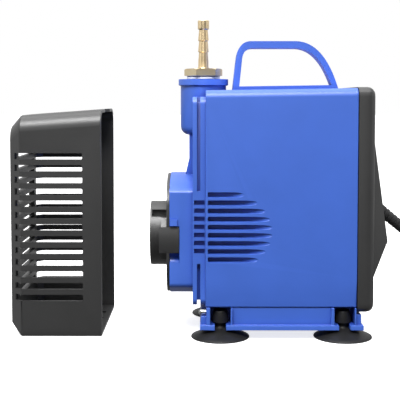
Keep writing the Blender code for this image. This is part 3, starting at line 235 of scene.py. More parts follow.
CORD_DIAMETER = 7.6 * MM
CORD_RADIUS = CORD_DIAMETER / 2
CORD_SPACING = 3.6 * MM               # between the points of its centreline
EXIT_ANGLE = math.radians(-39)        # the cord leaves the wedge sloping down
EXIT_POINT = (129.4 * MM, 0.0, 85.9 * MM)
COIL_CENTRE = (226.0 * MM, 49.4 * MM)
TURN_RADII = (49.4 * MM, 41.8 * MM, 34.2 * MM)
# From the strain relief down to the floor, and from the coil to the plug, in millimetres.
CORD_ROUTE = (
    (150.4, 0.0, 68.4), (157.5, 0.0, 62.0), (164.0, 0.0, 53.6), (168.8, 0.0, 44.2),
    (173.2, 0.0, 34.2), (178.4, 0.0, 24.6), (185.2, 0.0, 15.8), (193.2, -0.3, 9.2),
    (201.0, -2.2, 5.4), (212.4, -1.9, 4.0),
)
TAIL_ROUTE = (
    (270.6, 62.1, 19.6), (268.6, 70.0, 20.3), (264.9, 77.1, 21.8), (259.5, 83.0, 23.7),
    (252.7, 87.4, 25.4), (245.6, 89.9, 26.7), (238.8, 90.0, 26.8),
)


def exit_axis(distance):
    """The point that far along the cord's axis from the wedge's face."""
    return Vector((EXIT_POINT[0] + distance * math.cos(EXIT_ANGLE), 0.0,
                   EXIT_POINT[2] + distance * math.sin(EXIT_ANGLE)))


def ease(share):
    """0 to 1 with a soft start and end."""
    share = min(1.0, max(0.0, share))
    return share * share * (3 - 2 * share)


def coil_point(degrees, radius, height):
    turn = math.radians(degrees)
    return Vector((COIL_CENTRE[0] + radius * math.cos(turn),
                   COIL_CENTRE[1] + radius * math.sin(turn), height))


def coil_route():
    """Three turns inwards on the floor, three outwards on top, then over the outer turn."""
    points = []
    low, high, top = CORD_RADIUS, 3 * CORD_RADIUS, 5 * CORD_RADIUS
    step, shift = 12, 60              # degrees between points, and to change to the next ring
    rings = list(TURN_RADII) + list(reversed(TURN_RADII))
    for degree in range(0, 6 * 360 + 107, step):
        ring, place = min(5, degree // 360), degree % 360
        radius, height = rings[ring], low if ring < 3 else high
        crossing = ease((place - 360 + shift) / shift) if degree < 6 * 360 else 0.0
        if ring < 5:
            radius += crossing * (rings[ring + 1] - radius)
            height += crossing * ((low if ring + 1 < 3 else high) - height)
        climb = ease((degree - 5 * 360 - 235) / 95)      # over the outer turn, to the plug
        height += climb * (top - high)
        radius -= 3.0 * MM * ease((degree - 6 * 360) / 105)
        points.append(coil_point(degree - 90, radius, height))
    return points


def smooth_points(knots, spacing):
    """Evenly spaced points on a smooth curve through the knots."""
    ends = [2 * knots[0] - knots[1]] + knots + [2 * knots[-1] - knots[-2]]
    dense, fine = [], 10
    for a, b, c, d in zip(ends, ends[1:], ends[2:], ends[3:]):
        for i in range(fine):
            t = i / fine
            dense.append(0.5 * (2 * b + (c - a) * t + (2 * a - 5 * b + 4 * c - d) * t ** 2
                                + (3 * b - a - 3 * c + d) * t ** 3))
    dense.append(knots[-1])
    reach = [0.0]
    for first, second in zip(dense, dense[1:]):
        reach.append(reach[-1] + (second - first).length)
    count = round(reach[-1] / spacing)
    points, j = [], 1
    for k in range(count + 1):
        target = reach[-1] * k / count
        while j < len(reach) - 1 and reach[j] < target:
            j += 1
        share = (target - reach[j - 1]) / (reach[j] - reach[j - 1])
        points.append(dense[j - 1].lerp(dense[j], min(1.0, share)))
    return points


def make_cord():
    knots = [exit_axis(6 * MM), exit_axis(14 * MM)] + [Vector(p) * MM for p in CORD_ROUTE]
    knots += coil_route() + [Vector(p) * MM for p in TAIL_ROUTE]
    points = smooth_points(knots, CORD_SPACING)
    curve = bpy.data.curves.new("mains_cord", "CURVE")
    curve.dimensions = "3D"
    curve.bevel_depth = 1.0           # times the radius at each point
    curve.bevel_resolution = 4
    curve.use_fill_caps = True
    spline = curve.splines.new("POLY")
    spline.points.add(len(points) - 1)
    for point, place in zip(spline.points, points):
        point.co, point.radius = (*place, 1.0), CORD_RADIUS
    return link(bpy.data.objects.new("mains_cord", curve))


cord = make_cord()
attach(cord, "pump")
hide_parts("power_cord", "cord_coil", "cord_tail")


# ---------------------------------------------------------------- materials

WORN_AND_HIGHLIT_EDGES = (0.52, 0.60)             # pointiness from which an edge lightens, and is fully light: wear and a painted highlight
PAINTED_SHADE_REACH = 7 * MM
PAINTED_SHADE_OPENNESS = (0.15, 0.85)                # ambient occlusion of a fully shaded hollow and of a plain surface, for the painted shade


def tree(name):
    material = bpy.data.materials.new(name)
    material.use_nodes = True
    nodes = material.node_tree.nodes
    return material, nodes, material.node_tree.links, nodes["Principled BSDF"]


def noise(nodes, links, scale, detail=3.0, stretch=(1, 1, 1)):
    place = nodes.new("ShaderNodeTexCoord")
    spread = nodes.new("ShaderNodeMapping")
    spread.inputs["Scale"].default_value = stretch
    made = nodes.new("ShaderNodeTexNoise")
    made.inputs["Scale"].default_value = scale
    made.inputs["Detail"].default_value = detail
    links.new(place.outputs["Object"], spread.inputs["Vector"])
    links.new(spread.outputs["Vector"], made.inputs["Vector"])
    return made.outputs["Fac"]


def spread_value(nodes, links, source, low, high, start=0.3, end=0.7):
    """Map start to end of the source onto low to high."""
    made = nodes.new("ShaderNodeMapRange")
    for socket, value in zip(("From Min", "From Max", "To Min", "To Max"),
                             (start, end, low, high)):
        made.inputs[socket].default_value = value
    links.new(source, made.inputs["Value"])
    return made.outputs["Result"]


def mix_colour(nodes, links, share, first, second):
    made = nodes.new("ShaderNodeMix")
    made.data_type = "RGBA"
    links.new(share, made.inputs["Factor"])
    for socket, value in ((made.inputs[6], first), (made.inputs[7], second)):
        if isinstance(value, bpy.types.NodeSocket):
            links.new(value, socket)
        else:
            socket.default_value = (*value, 1.0)
    return made.outputs[2]


def surface(name, colour, rough, grain, depth, drift=0.06, rough_drift=0.05, edge=0.25,
            metallic=0.0, stretch=(1, 1, 1), specular=0.5, coat=0.0, blotch=38, hollow_shade=None):
    """Moulded or turned surface: fine grain, slow colour drift, lighter edges (wear and a painted
    highlight) and, where a hollow-shade colour is given, painted shade in hollows. Depth is the
    grain's height in metres."""
    material, nodes, links, shader = tree(name)
    slow = noise(nodes, links, blotch, 4.0)
    fine = noise(nodes, links, grain, 2.0, stretch)
    darker = tuple(c * (1 - drift) for c in colour)
    lighter = tuple(min(1.0, c * (1 + drift)) for c in colour)
    tone = mix_colour(nodes, links, spread_value(nodes, links, slow, 0, 1), darker, lighter)
    # Lighter sharp edges: partly wear, partly a painted highlight where bevels would catch the
    # light.
    shape = nodes.new("ShaderNodeNewGeometry")
    wear_and_highlight = spread_value(nodes, links, shape.outputs["Pointiness"], 0.0, edge, *WORN_AND_HIGHLIT_EDGES)
    pale = tuple(min(1.0, c * 1.6 + 0.03) for c in colour)
    tone = mix_colour(nodes, links, wear_and_highlight, tone, pale)
    # Painted shade: where ambient occlusion finds a hollow, the colour is darkened towards the
    # hollow-shade colour.
    if hollow_shade:
        painted_shade = nodes.new("ShaderNodeAmbientOcclusion")
        painted_shade.inputs["Distance"].default_value = PAINTED_SHADE_REACH
        painted_shade.samples = 6
        share = spread_value(nodes, links, painted_shade.outputs["AO"], 0.0, 1.0, *PAINTED_SHADE_OPENNESS)
        tone = mix_colour(nodes, links, share, hollow_shade, tone)
    links.new(tone, shader.inputs["Base Color"])
    links.new(spread_value(nodes, links, fine, rough - rough_drift, rough + rough_drift),
              shader.inputs["Roughness"])
    shader.inputs["Metallic"].default_value = metallic
    shader.inputs["Specular IOR Level"].default_value = specular
    shader.inputs["Coat Weight"].default_value = coat
    bump = nodes.new("ShaderNodeBump")
    bump.inputs["Strength"].default_value = 0.5
    bump.inputs["Distance"].default_value = depth
    links.new(fine, bump.inputs["Height"])
    links.new(bump.outputs["Normal"], shader.inputs["Normal"])
    return material


# The blue and black plastics get painted shade in their grooves, louvres and recesses through
# their hollow-shade colours.
LOOKS = {
    "blue_plastic": surface("blue_plastic", (0.050, 0.140, 0.60), 0.44, 1500, 0.03 * MM, 0.04,
                            hollow_shade=(0.007, 0.032, 0.30), specular=0.75),
    "black_plastic": surface("black_plastic", (0.028, 0.028, 0.0283), 0.42, 1300, 0.04 * MM, 0.08,
                             hollow_shade=(0.004, 0.004, 0.004), specular=0.85),
    "rubber": surface("black_rubber", (0.012, 0.012, 0.0125), 0.5, 900, 0.02 * MM, 0.12,
                      specular=0.3),
    "cord_rubber": surface("cord_rubber", (0.020, 0.020, 0.021), 0.48, 700, 0.05 * MM, 0.10),
    "brass": surface("brass", (0.97, 0.75, 0.45), 0.36, 2600, 0.0006 * MM, 0.05, 0.04, 0.3, 1.0,
                     (1, 1, 9)),
    "steel": surface("zinc_steel", (0.58, 0.59, 0.58), 0.32, 900, 0.01 * MM, 0.06, 0.08, 0.2, 1.0),
    "core_steel": surface("core_steel", (0.26, 0.26, 0.28), 0.5, 900, 0.02 * MM, 0.1, 0.08, 0.2,
                          0.9, (9, 1, 1)),
    "ceramic": surface("ceramic", (0.80, 0.78, 0.73), 0.22, 900, 0.01 * MM, 0.02),
    "magnet": surface("ferrite", (0.08, 0.08, 0.09), 0.5, 700, 0.03 * MM),
    "copper": surface("copper", (0.62, 0.27, 0.12), 0.32, 900, 0.04 * MM, 0.1, 0.06, 0.2, 1.0,
                      (1, 1, 6)),
    "white_nylon": surface("white_nylon", (0.72, 0.72, 0.68), 0.45, 900, 0.02 * MM, 0.03),
    "resin": surface("resin", (0.045, 0.045, 0.05), 0.35, 300, 0.05 * MM),
    "fibre": surface("fibre", (0.74, 0.71, 0.65), 0.7, 700, 0.06 * MM),
}


def dress(obj, slot):
    obj.data.materials.clear()
    obj.data.materials.append(LOOKS[slot])


SLOTS = {part["node"]: part["material_slot"] for part in frame["record"]["subparts"]}
for node, obj in frame["nodes"].items():
    for place in range(len(obj.material_slots)):
        obj.material_slots[place].material = LOOKS[SLOTS[node]]
    if not obj.material_slots:
        obj.data.materials.append(LOOKS[SLOTS[node]])
dress(cord, "cord_rubber")

BODY = {node: body for body, nodes in frame["record"]["behaviour"]["bodies"].items()
        for node in nodes}


def stand_for(obj, node, *more):
    """The piece takes a CAD node's place, body and material."""
    dress(obj, SLOTS[node])
    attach(obj, BODY[node])
    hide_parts(node, *more)
    return obj


# ---------------------------------------------------------------- housing

HOUSING_X = (4.02 * MM, 107.6 * MM)
HOUSING_Z = (22.2 * MM, 170.8 * MM)
HOUSING_RISE = 1.5 * MM               # of the roof, from the flange to the back cover
HOUSING_WALL = 5.5 * MM
HALF_WIDTH = 46.0 * MM
FOOT_HALF_WIDTH = 43.9 * MM
WALL_BEND = 42.0 * MM                 # below this height the sides lean inwards
SHOULDER = 5.5 * MM
OUTLET_X = 2.5 * MM
OUTLET_RADIUS = 16.4 * MM
LOUVRE_ROWS = 9
LOUVRE_PITCH = 5.56 * MM
LOUVRE_MIDDLE = 77.5 * MM             # height of the middle row
LOUVRE_START = 5.5 * MM
LOUVRE_REACH = 44.0 * MM
LOUVRE_ARC = (74.5 * MM, 30.4 * MM)   # middle and half height of the half ellipse they end on
LOUVRE_DEPTH = 4.9 * MM
LOUVRE_HALF = 1.6 * MM                # half the height of a trough
LOUVRE_MOUTH = 1.15 * MM              # and the same at its blunt end
LOUVRE_EDGE = 0.45 * MM               # the softened edge
LOUVRE_SHARES = (0.0, 0.02, 0.3, 0.5, 0.65, 0.76, 0.85, 0.91, 0.95, 0.98, 0.997)


def prism(name, outline, axis, start, end, smooth=35):
    bm = bmesh.new()
    add_prism(bm, outline, axis, start, end)
    return add_object(name, bm, smooth)


def boxes(name, limits):
    bm = bmesh.new()
    for x, y, z in limits:
        add_box(bm, x, y, z)
    return add_object(name, bm)


def rod(radius, start, end):
    return [(0.0, start), (radius, start), (radius, end), (0.0, end)]


def quadratic(p0, p1, p2, steps):
    points = []
    for i in range(steps + 1):
        t = i / steps
        weights = ((1 - t) ** 2, 2 * t * (1 - t), t ** 2)
        points.append(tuple(sum(w * p[k] for w, p in zip(weights, (p0, p1, p2)))
                            for k in range(2)))
    return points


def roof_height(x):
    share = (x - HOUSING_X[0]) / (HOUSING_X[1] - HOUSING_X[0])
    return HOUSING_Z[1] + HOUSING_RISE * share


def housing_section(inset, radius, steps):
    """Outline across the housing, that far inside its skin, with that shoulder radius."""
    wide, narrow = HALF_WIDTH - inset, FOOT_HALF_WIDTH - inset
    low, high = HOUSING_Z[0] + 0.6 * inset, HOUSING_Z[1] - 0.6 * inset
    right = [(narrow, low), (wide, WALL_BEND)]
    right += arc((wide - radius, high - radius), radius, 0, math.pi / 2, steps)
    return right + [(-y, z) for y, z in reversed(right)]


def raise_roof(obj):
    """Slope everything above the axis up towards the back cover."""
    for vertex in obj.data.vertices:
        if vertex.co.z > AXIS_Z:
            vertex.co.z += HOUSING_RISE * (vertex.co.x - HOUSING_X[0]) / (
                HOUSING_X[1] - HOUSING_X[0])
    return obj


def louvres():
    """Troughs that grow shallow and narrow towards the cord end."""
    bm = bmesh.new()
    for row in range(LOUVRE_ROWS):
        middle = LOUVRE_MIDDLE + (row - LOUVRE_ROWS // 2) * LOUVRE_PITCH
        fullness = math.sqrt(1 - ((middle - LOUVRE_ARC[0]) / LOUVRE_ARC[1]) ** 2)
        reach = LOUVRE_REACH * fullness
        depth = LOUVRE_DEPTH * min(1.0, fullness / 0.8)
        for side in (-1, 1):
            loops = []
            for share in LOUVRE_SHARES:
                half = LOUVRE_HALF * (1 - share ** 9) ** 0.5 if share else LOUVRE_MOUTH
                floor = HALF_WIDTH - depth * (1 - share ** 2.6) - 0.02 * MM
                lip = HALF_WIDTH - LOUVRE_EDGE * (1 - share ** 9)
                x = LOUVRE_START + share * reach
                loops.append([bm.verts.new((x, side * y, middle + z)) for y, z in (
                    (HALF_WIDTH + 0.6 * MM, half + 0.35 * MM), (HALF_WIDTH, half + 0.3 * MM),
                    (lip, half), (floor, 0.8 * half), (floor, -0.8 * half), (lip, -half),
                    (HALF_WIDTH, -half - 0.3 * MM), (HALF_WIDTH + 0.6 * MM, -half - 0.35 * MM))])
            add_skin(bm, loops)
    return add_object("louvres", bm)


def make_housing():
    left, right = HOUSING_X
    body = raise_roof(prism("housing", housing_section(0.0, SHOULDER, 10), "X", left, right))
    edge_round(body, 0.9 * MM, 3, 28)
    cavity = raise_roof(prism("cavity", housing_section(HOUSING_WALL, 3.0 * MM, 4), "X",
                              left + 5.0 * MM, right + MM))
    recess = turned("recess", rod(OUTLET_RADIUS + 0.4 * MM, 138.0 * MM, 190 * MM), "Z",
                    (OUTLET_X, 0, 0), 48)
    cut(body, louvres(), cavity, recess)
    return even_shading(body, 26)


stand_for(make_housing(), "motor_housing")


# ---------------------------------------------------------------- strainer

STRAINER_X = (-132.3 * MM, -68.0 * MM)
STRAINER_Y = 10.0 * MM
STRAINER_HALF = 46.3 * MM
STRAINER_HEIGHT = 157.6 * MM
STRAINER_SLOPE = 4.6 * MM
STRAINER_CHAMFER = 8.0 * MM
STRAINER_CORNER = 11.0 * MM
STRAINER_WALL = 2.2 * MM
STRAINER_END_WALL = 4.5 * MM
MITRE = 0.414                         # how far a bend of 45 degrees moves with the wall's inset
SLOT_ROWS = 13
SLOT_FIRST, SLOT_PITCH = 27.0, 8.2    # heights in millimetres
SLOT_HALF = 2.2 * MM
SLOT_CORNER = 1.0 * MM
SLOT_END_X = -81.0 * MM
SLOT_SIDE_MARGIN = 16.0 * MM
DRAIN_Y, DRAIN_LENGTH = (-21, -2, 17), 4   # in millimetres


def strainer_shell(name, inset, end_wall, mouth):
    """Box with a chamfered closed end and a sloping roof."""
    left, right = STRAINER_X
    bend = left + STRAINER_CHAMFER + MITRE * inset
    middle = (STRAINER_HEIGHT - STRAINER_SLOPE) / 2
    loops, radius = [], STRAINER_CORNER - inset
    for x in (bend, mouth):
        share = 1.0 if x == mouth else STRAINER_CHAMFER / (right - left)
        high = STRAINER_HEIGHT - STRAINER_SLOPE * (1 - share) - inset
        wide = STRAINER_HALF - inset
        half = [(wide, inset)] + arc((wide - radius, high - radius), radius, 0, math.pi / 2, 10)
        loops.append([(x, y, z) for y, z in half + [(-y, z) for y, z in reversed(half)]])
    nose = STRAINER_CHAMFER + MITRE * inset - end_wall
    shrink_y = 1 - nose / (STRAINER_HALF - inset)
    shrink_z = 1 - nose / (middle - inset)
    loops.insert(0, [(left + end_wall, y * shrink_y, middle + (z - middle) * shrink_z)
                     for _, y, z in loops[0]])
    bm = bmesh.new()
    add_skin(bm, [[bm.verts.new((x, STRAINER_Y + y, z)) for x, y, z in loop] for loop in loops])
    return add_object(name, bm)


def round_slot(x, z, radius, ends):
    """Slot outline with rounded corners at the chosen ends, 0 for the low one, 1 the high one."""
    quarter = math.pi / 2
    points = []
    for corner, (a, b) in enumerate(((1, 1), (0, 1), (0, 0), (1, 0))):
        if a in ends:
            centre = (x[a] + (-radius if a else radius), z[b] + (-radius if b else radius))
            points += arc(centre, radius, corner * quarter, (corner + 1) * quarter, 4)
        else:
            points.append((x[a], z[b]))
    return points


def make_strainer():
    left, right = STRAINER_X
    shell = edge_round(strainer_shell("strainer_fine", 0.0, 0.0, right), 0.8 * MM, 3, 30)
    cavity = strainer_shell("strainer_cavity", STRAINER_WALL, STRAINER_END_WALL, right + MM)
    near, far = STRAINER_Y - STRAINER_HALF, STRAINER_Y + STRAINER_HALF
    sides, ends = bmesh.new(), bmesh.new()
    inner = STRAINER_CHAMFER + 1.2 * MM
    for row in range(SLOT_ROWS):
        middle = (SLOT_FIRST + SLOT_PITCH * row) * MM
        z = (middle - SLOT_HALF, middle + SLOT_HALF)
        outline = round_slot((left + 3.5 * MM, SLOT_END_X), z, SLOT_CORNER, (1,))
        add_prism(sides, outline, "Y", near - MM, near + inner)
        add_prism(sides, outline, "Y", far - inner, far + MM)
        outline = round_slot((near + SLOT_SIDE_MARGIN, far - SLOT_SIDE_MARGIN), z, SLOT_CORNER,
                             (0, 1))
        add_prism(ends, outline, "X", left - MM, left + STRAINER_END_WALL + MM)
    notch = OUTLET_RADIUS + 0.8 * MM
    outline = arc((right + 2.8 * MM, STRAINER_Y), notch, math.pi / 2, 1.5 * math.pi, 24)
    outline += [(right + 6 * MM, STRAINER_Y - notch), (right + 6 * MM, STRAINER_Y + notch)]
    drains = boxes("drains", [((right - 7 * MM, right - 4 * MM),
                               (STRAINER_Y + y * MM, STRAINER_Y + (y + DRAIN_LENGTH) * MM),
                               (-MM, STRAINER_WALL + MM)) for y in DRAIN_Y])
    cut(shell, cavity, add_object("side_slots", sides), add_object("end_slots", ends),
        prism("notch", outline, "Z", 120 * MM, 170 * MM), drains)
    return even_shading(shell, 26)


stand_for(make_strainer(), "strainer")


# ---------------------------------------------------------------- pump head, covers, base

for node, width in (("base_rail", 0.5), ("volute_cover", 0.4), ("back_cover", 0.5)):
    stand_for(edge_round(from_cad(node, node + "_fine"), width * MM), node)
head = join_flat_faces(from_cad("pump_head", "pump_head_fine"))
stand_for(even_shading(head, 28), "pump_head")


# ---------------------------------------------------------------- handle

HANDLE_TOP = 206.1 * MM
HANDLE_HALF = 7.5 * MM
HANDLE_STRAP = 5.0 * MM


def make_handle():
    """Strap bent to a D, standing on a thin strip along the roof."""
    inner_top = HANDLE_TOP - HANDLE_STRAP
    seat, strip = 0.3 * MM, 2.4 * MM
    left, right = 23.3 * MM, 98.9 * MM
    outer_corner, inner_corner = (25.6 * MM, 192.0 * MM), (30.2 * MM, 193.4 * MM)
    outer = [(left, roof_height(left) + seat), outer_corner]
    outer += quadratic(outer_corner, (27.0 * MM, HANDLE_TOP), (36.5 * MM, HANDLE_TOP), 16)[1:]
    outer += quadratic((68.0 * MM, HANDLE_TOP), (88.5 * MM, HANDLE_TOP),
                       (right, roof_height(right) + seat), 28)
    left, right = 28.2 * MM, 94.2 * MM
    inner = [(left, roof_height(left) + seat + strip), inner_corner]
    inner += quadratic(inner_corner, (31.2 * MM, inner_top), (37.8 * MM, inner_top), 16)[1:]
    inner += quadratic((68.0 * MM, inner_top), (84.6 * MM, inner_top),
                       (right, roof_height(right) + seat + strip), 28)
    strap = prism("handle", outer, "Y", -HANDLE_HALF, HANDLE_HALF)
    window = prism("window", inner, "Y", -HANDLE_HALF - MM, HANDLE_HALF + MM)
    return edge_round(cut(strap, window), 1.3 * MM, 4, 50, 30)


stand_for(make_handle(), "carry_handle")


# ---------------------------------------------------------------- hose tail and screws

HEXAGON_FLATS = 24.0 * MM
HEXAGON_TURN = math.radians(8)
HEXAGON_Z = (181.5 * MM, 186.6 * MM)
THREAD_STEP = 0.9                     # from a crest to the next root, in millimetres


def make_tail():
    """Turned barbs on a chamfered hexagon, with a threaded end in the outlet."""
    barb = [(6.9, 166.5), (9.4, 166.5)]
    barb += [(10.48 - (0.55 if i % 2 else 0.0), 167.4 + i * THREAD_STEP) for i in range(14)]
    barb += [(10.48, 180.8), (12.0, 180.8), (12.0, 181.6), (4.4, 181.6), (4.4, 187.0),
             (3.75, 187.8), (3.7, 192.0), (3.2, 198.2), (3.2, 198.5), (3.8, 198.7), (3.85, 198.9),
             (3.15, 206.2), (3.15, 206.5), (3.8, 206.7), (3.85, 206.9), (3.15, 214.2),
             (3.2, 214.6), (4.0, 215.1), (4.1, 215.4), (4.1, 220.7), (3.95, 221.1), (3.7, 221.3),
             (2.5, 221.3), (2.3, 221.1), (2.3, 176.0), (6.9, 174.0)]
    tail = turned("tail", [(r * MM, z * MM) for r, z in barb], "Z", (OUTLET_X, 0, 0), 96, 35)
    corner = HEXAGON_FLATS / math.sqrt(3)
    outline = [(OUTLET_X + corner * math.cos(HEXAGON_TURN + i * math.tau / 6),
                corner * math.sin(HEXAGON_TURN + i * math.tau / 6)) for i in range(6)]
    nut = prism("hexagon", outline, "Z", *HEXAGON_Z)
    chamfer = turned("chamfer", [(0.0, 180 * MM), (14.2 * MM, 180 * MM), (14.2 * MM, 185.7 * MM),
                                 (12.3 * MM, 186.9 * MM), (0.0, 186.9 * MM)], "Z",
                     (OUTLET_X, 0, 0), 64)
    combine(nut, chamfer, "INTERSECT")
    bore = turned("hexagon_bore", rod(3.6 * MM, 180 * MM, 188 * MM), "Z", (OUTLET_X, 0, 0), 32)
    cut(nut, bore)
    weld(tail, edge_round(nut, 0.2 * MM, 2, 20))
    return even_shading(tail, 35)


stand_for(make_tail(), "brass_hose_tail")


def screw_head(node, towards):
    """Pan head with a cross recess, on the CAD screw's own line."""
    source = frame["nodes"][node]
    corners = [source.matrix_world @ Vector(corner) for corner in source.bound_box]
    lows = [min(corner[i] for corner in corners) for i in range(3)]
    highs = [max(corner[i] for corner in corners) for i in range(3)]
    y, z = (lows[1] + highs[1]) / 2, (lows[2] + highs[2]) / 2
    top, tip = (lows[0], highs[0]) if towards > 0 else (highs[0], lows[0])
    length = abs(tip - top)
    dome = [(0.0, 0.0), (1.2, 0.05), (2.2, 0.3), (2.9, 0.8), (3.2, 1.5), (3.2, 2.2)]
    shank = [(1.6 if i % 2 else 1.35, 2.2 + i * 0.45)
             for i in range(1, int((length / MM - 3.4) / 0.45))]
    profile = [(r * MM, along * MM) for r, along in dome] + [(1.35 * MM, 2.25 * MM)]
    profile += [(r * MM, along * MM) for r, along in shank[1:]]
    profile += [(0.7 * MM, length - 0.4 * MM), (0.0, length)]
    made = turned(node + "_fine", [(r, top + towards * along) for r, along in profile], "X",
                  (0, y, z), 32)
    arm, half = 1.7 * MM, 0.38 * MM
    depth = (top - towards * MM, top + towards * 1.3 * MM)
    cross = boxes("cross", [(depth, (y - arm, y + arm), (z - half, z + half)),
                            (depth, (y - half, y + half), (z - arm, z + arm))])
    modifier = made.modifiers.new("recess", "BOOLEAN")
    modifier.operation, modifier.solver, modifier.object = "DIFFERENCE", "EXACT", cross
    modifier.use_self = True          # the cross is two boxes that overlap
    bake(made)
    bpy.data.objects.remove(cross, do_unlink=True)
    made.data.shade_smooth()
    made.data.set_sharp_from_angle(angle=math.radians(35))
    return made


for number in range(1, 5):
    for node, towards in ((f"pump_head_screw_{number}", 1), (f"back_cover_screw_{number}", -1)):
        stand_for(screw_head(node, towards), node)


def make_base_screw(number, side):
    """Domed screw with a slot."""
    y, z = side * 38.5 * MM, 17.9 * MM
    radius, shank = 2.1, 1.2
    profile = [(0.0, -1.0)] + [(radius * math.sin(a), 1.1 - radius * math.cos(a))
                               for a in (0.3, 0.6, 0.9, 1.2, 1.5708)]
    profile += [(radius, 4.2), (shank, 4.2), (shank, 6.9), (0.0, 6.9)]
    screw = turned(f"base_screw_{number}_fine", [(r * MM, x * MM) for r, x in profile], "X",
                   (0, y, z), 32)
    slot = boxes("slot", [((-2 * MM, -0.4 * MM), (y - 3 * MM, y + 3 * MM),
                           (z - 0.25 * MM, z + 0.25 * MM))])
    return cut(screw, slot)


for number, side in ((1, -1), (2, 1)):
    stand_for(make_base_screw(number, side), f"base_screw_{number}")


# ---------------------------------------------------------------- suction feet

def make_foot(number, x, y):
    """Rubber cup, neck and button head, all soft edges."""
    profile = [(0.0, 3.9), (4.0, 3.8), (7.0, 3.5), (10.5, 2.95), (13.5, 2.2), (16.4, 1.1),
               (18.4, 0.15), (18.8, 0.0), (20.0, 0.0), (20.25, 0.2), (20.3, 0.5), (20.1, 0.9),
               (18.0, 1.8), (14.5, 3.3), (11.0, 4.6), (8.0, 5.5), (5.5, 6.1), (4.2, 6.5),
               (3.5, 7.2), (3.3, 8.2), (3.3, 10.3), (5.2, 10.3), (5.6, 10.7), (5.6, 12.5),
               (5.4, 14.6), (4.95, 17.6), (4.7, 18.5), (4.2, 18.95), (3.6, 19.0), (0.0, 19.0)]
    return turned(f"suction_foot_{number}_fine", [(r * MM, z * MM) for r, z in profile], "Z",
                  (x, y, 0), 56, 42)


FOOT_PLACES = [(x * MM, side * 36.0 * MM) for x in (14.2, 99.3) for side in (-1, 1)]
for number, (x, y) in enumerate(FOOT_PLACES, 1):
    stand_for(make_foot(number, x, y), f"suction_foot_{number}")


# ---------------------------------------------------------------- cord pieces

PLUG_FACE, PLUG_TAIL = 187.6, 238.0   # X of its blade end and cord end, in millimetres
PLUG_Y, PLUG_Z = 90.0 * MM, 26.8 * MM


def make_gland():
    """Ribbed rubber sleeve that grips the cord where it leaves the wedge."""
    profile = [(0.0, -18.2), (5.6, -18.2), (5.6, -16.2), (4.3, -16.2), (4.3, 2.0)]
    for i in range(6):
        along, radius = 3.2 + 3.3 * i, 4.3 - 0.055 * i
        profile += [(radius, along), (radius, along + 1.9), (radius - 0.55, along + 2.3),
                    (radius - 0.55, along + 2.9)]
    profile += [(3.95, 23.2), (3.95, 24.6), (3.8, 25.0), (0.0, 25.0)]
    gland = turned("gland", [(r * MM, z * MM) for r, z in profile], "Z", (0, 0, 0), 40, 30)
    gland.data.transform(Matrix.Translation(exit_axis(0.0))
                         @ Matrix.Rotation(math.pi / 2 - EXIT_ANGLE, 4, "Y"))
    return gland


def make_tie():
    """Strap bent over the bundle and over the turn that lies on top of it."""
    x, y = COIL_CENTRE
    inner = TURN_RADII[2] - CORD_RADIUS - 0.45 * MM
    outer = TURN_RADII[0] + CORD_RADIUS + 0.3 * MM
    thick, half = 1.4 * MM, 3.0 * MM
    crest, low = 5 * CORD_RADIUS + CORD_RADIUS + 0.5 * MM, 4 * CORD_RADIUS + 0.3 * MM
    hump = 46.4 * MM
    shape = [(inner, 0.2 * MM), (inner, low - 2 * MM)]
    shape += quadratic((inner, low - 2 * MM), (inner, low), (inner + 2 * MM, low), 5)[1:]
    shape += [(hump - 8.5 * MM, low)]
    shape += quadratic((hump - 8.5 * MM, low), (hump - 4.8 * MM, low),
                       (hump - 4.2 * MM, low + 3 * MM), 4)[1:]
    shape += quadratic((hump - 4.2 * MM, low + 3 * MM), (hump - 3.6 * MM, crest),
                       (hump, crest), 5)[1:]
    shape += quadratic((hump, crest), (hump + 4.6 * MM, crest), (hump + 5.2 * MM, low + 2 * MM),
                       5)[1:]
    shape += quadratic((hump + 5.2 * MM, low + 2 * MM), (outer, low - 2 * MM),
                       (outer, low - 5 * MM), 4)[1:]
    shape += [(outer, 0.2 * MM)]
    outward = []
    for i, point in enumerate(shape):
        before, after = shape[max(0, i - 1)], shape[min(len(shape) - 1, i + 1)]
        run, rise = after[0] - before[0], after[1] - before[1]
        size = math.hypot(run, rise)
        outward.append((point[0] - thick * rise / size, point[1] + thick * run / size))
    outline = [(x + a, b) for a, b in shape + outward[::-1]]
    return edge_round(prism("tie", outline, "Y", y - half, y + half), 0.3 * MM, 2, 50)


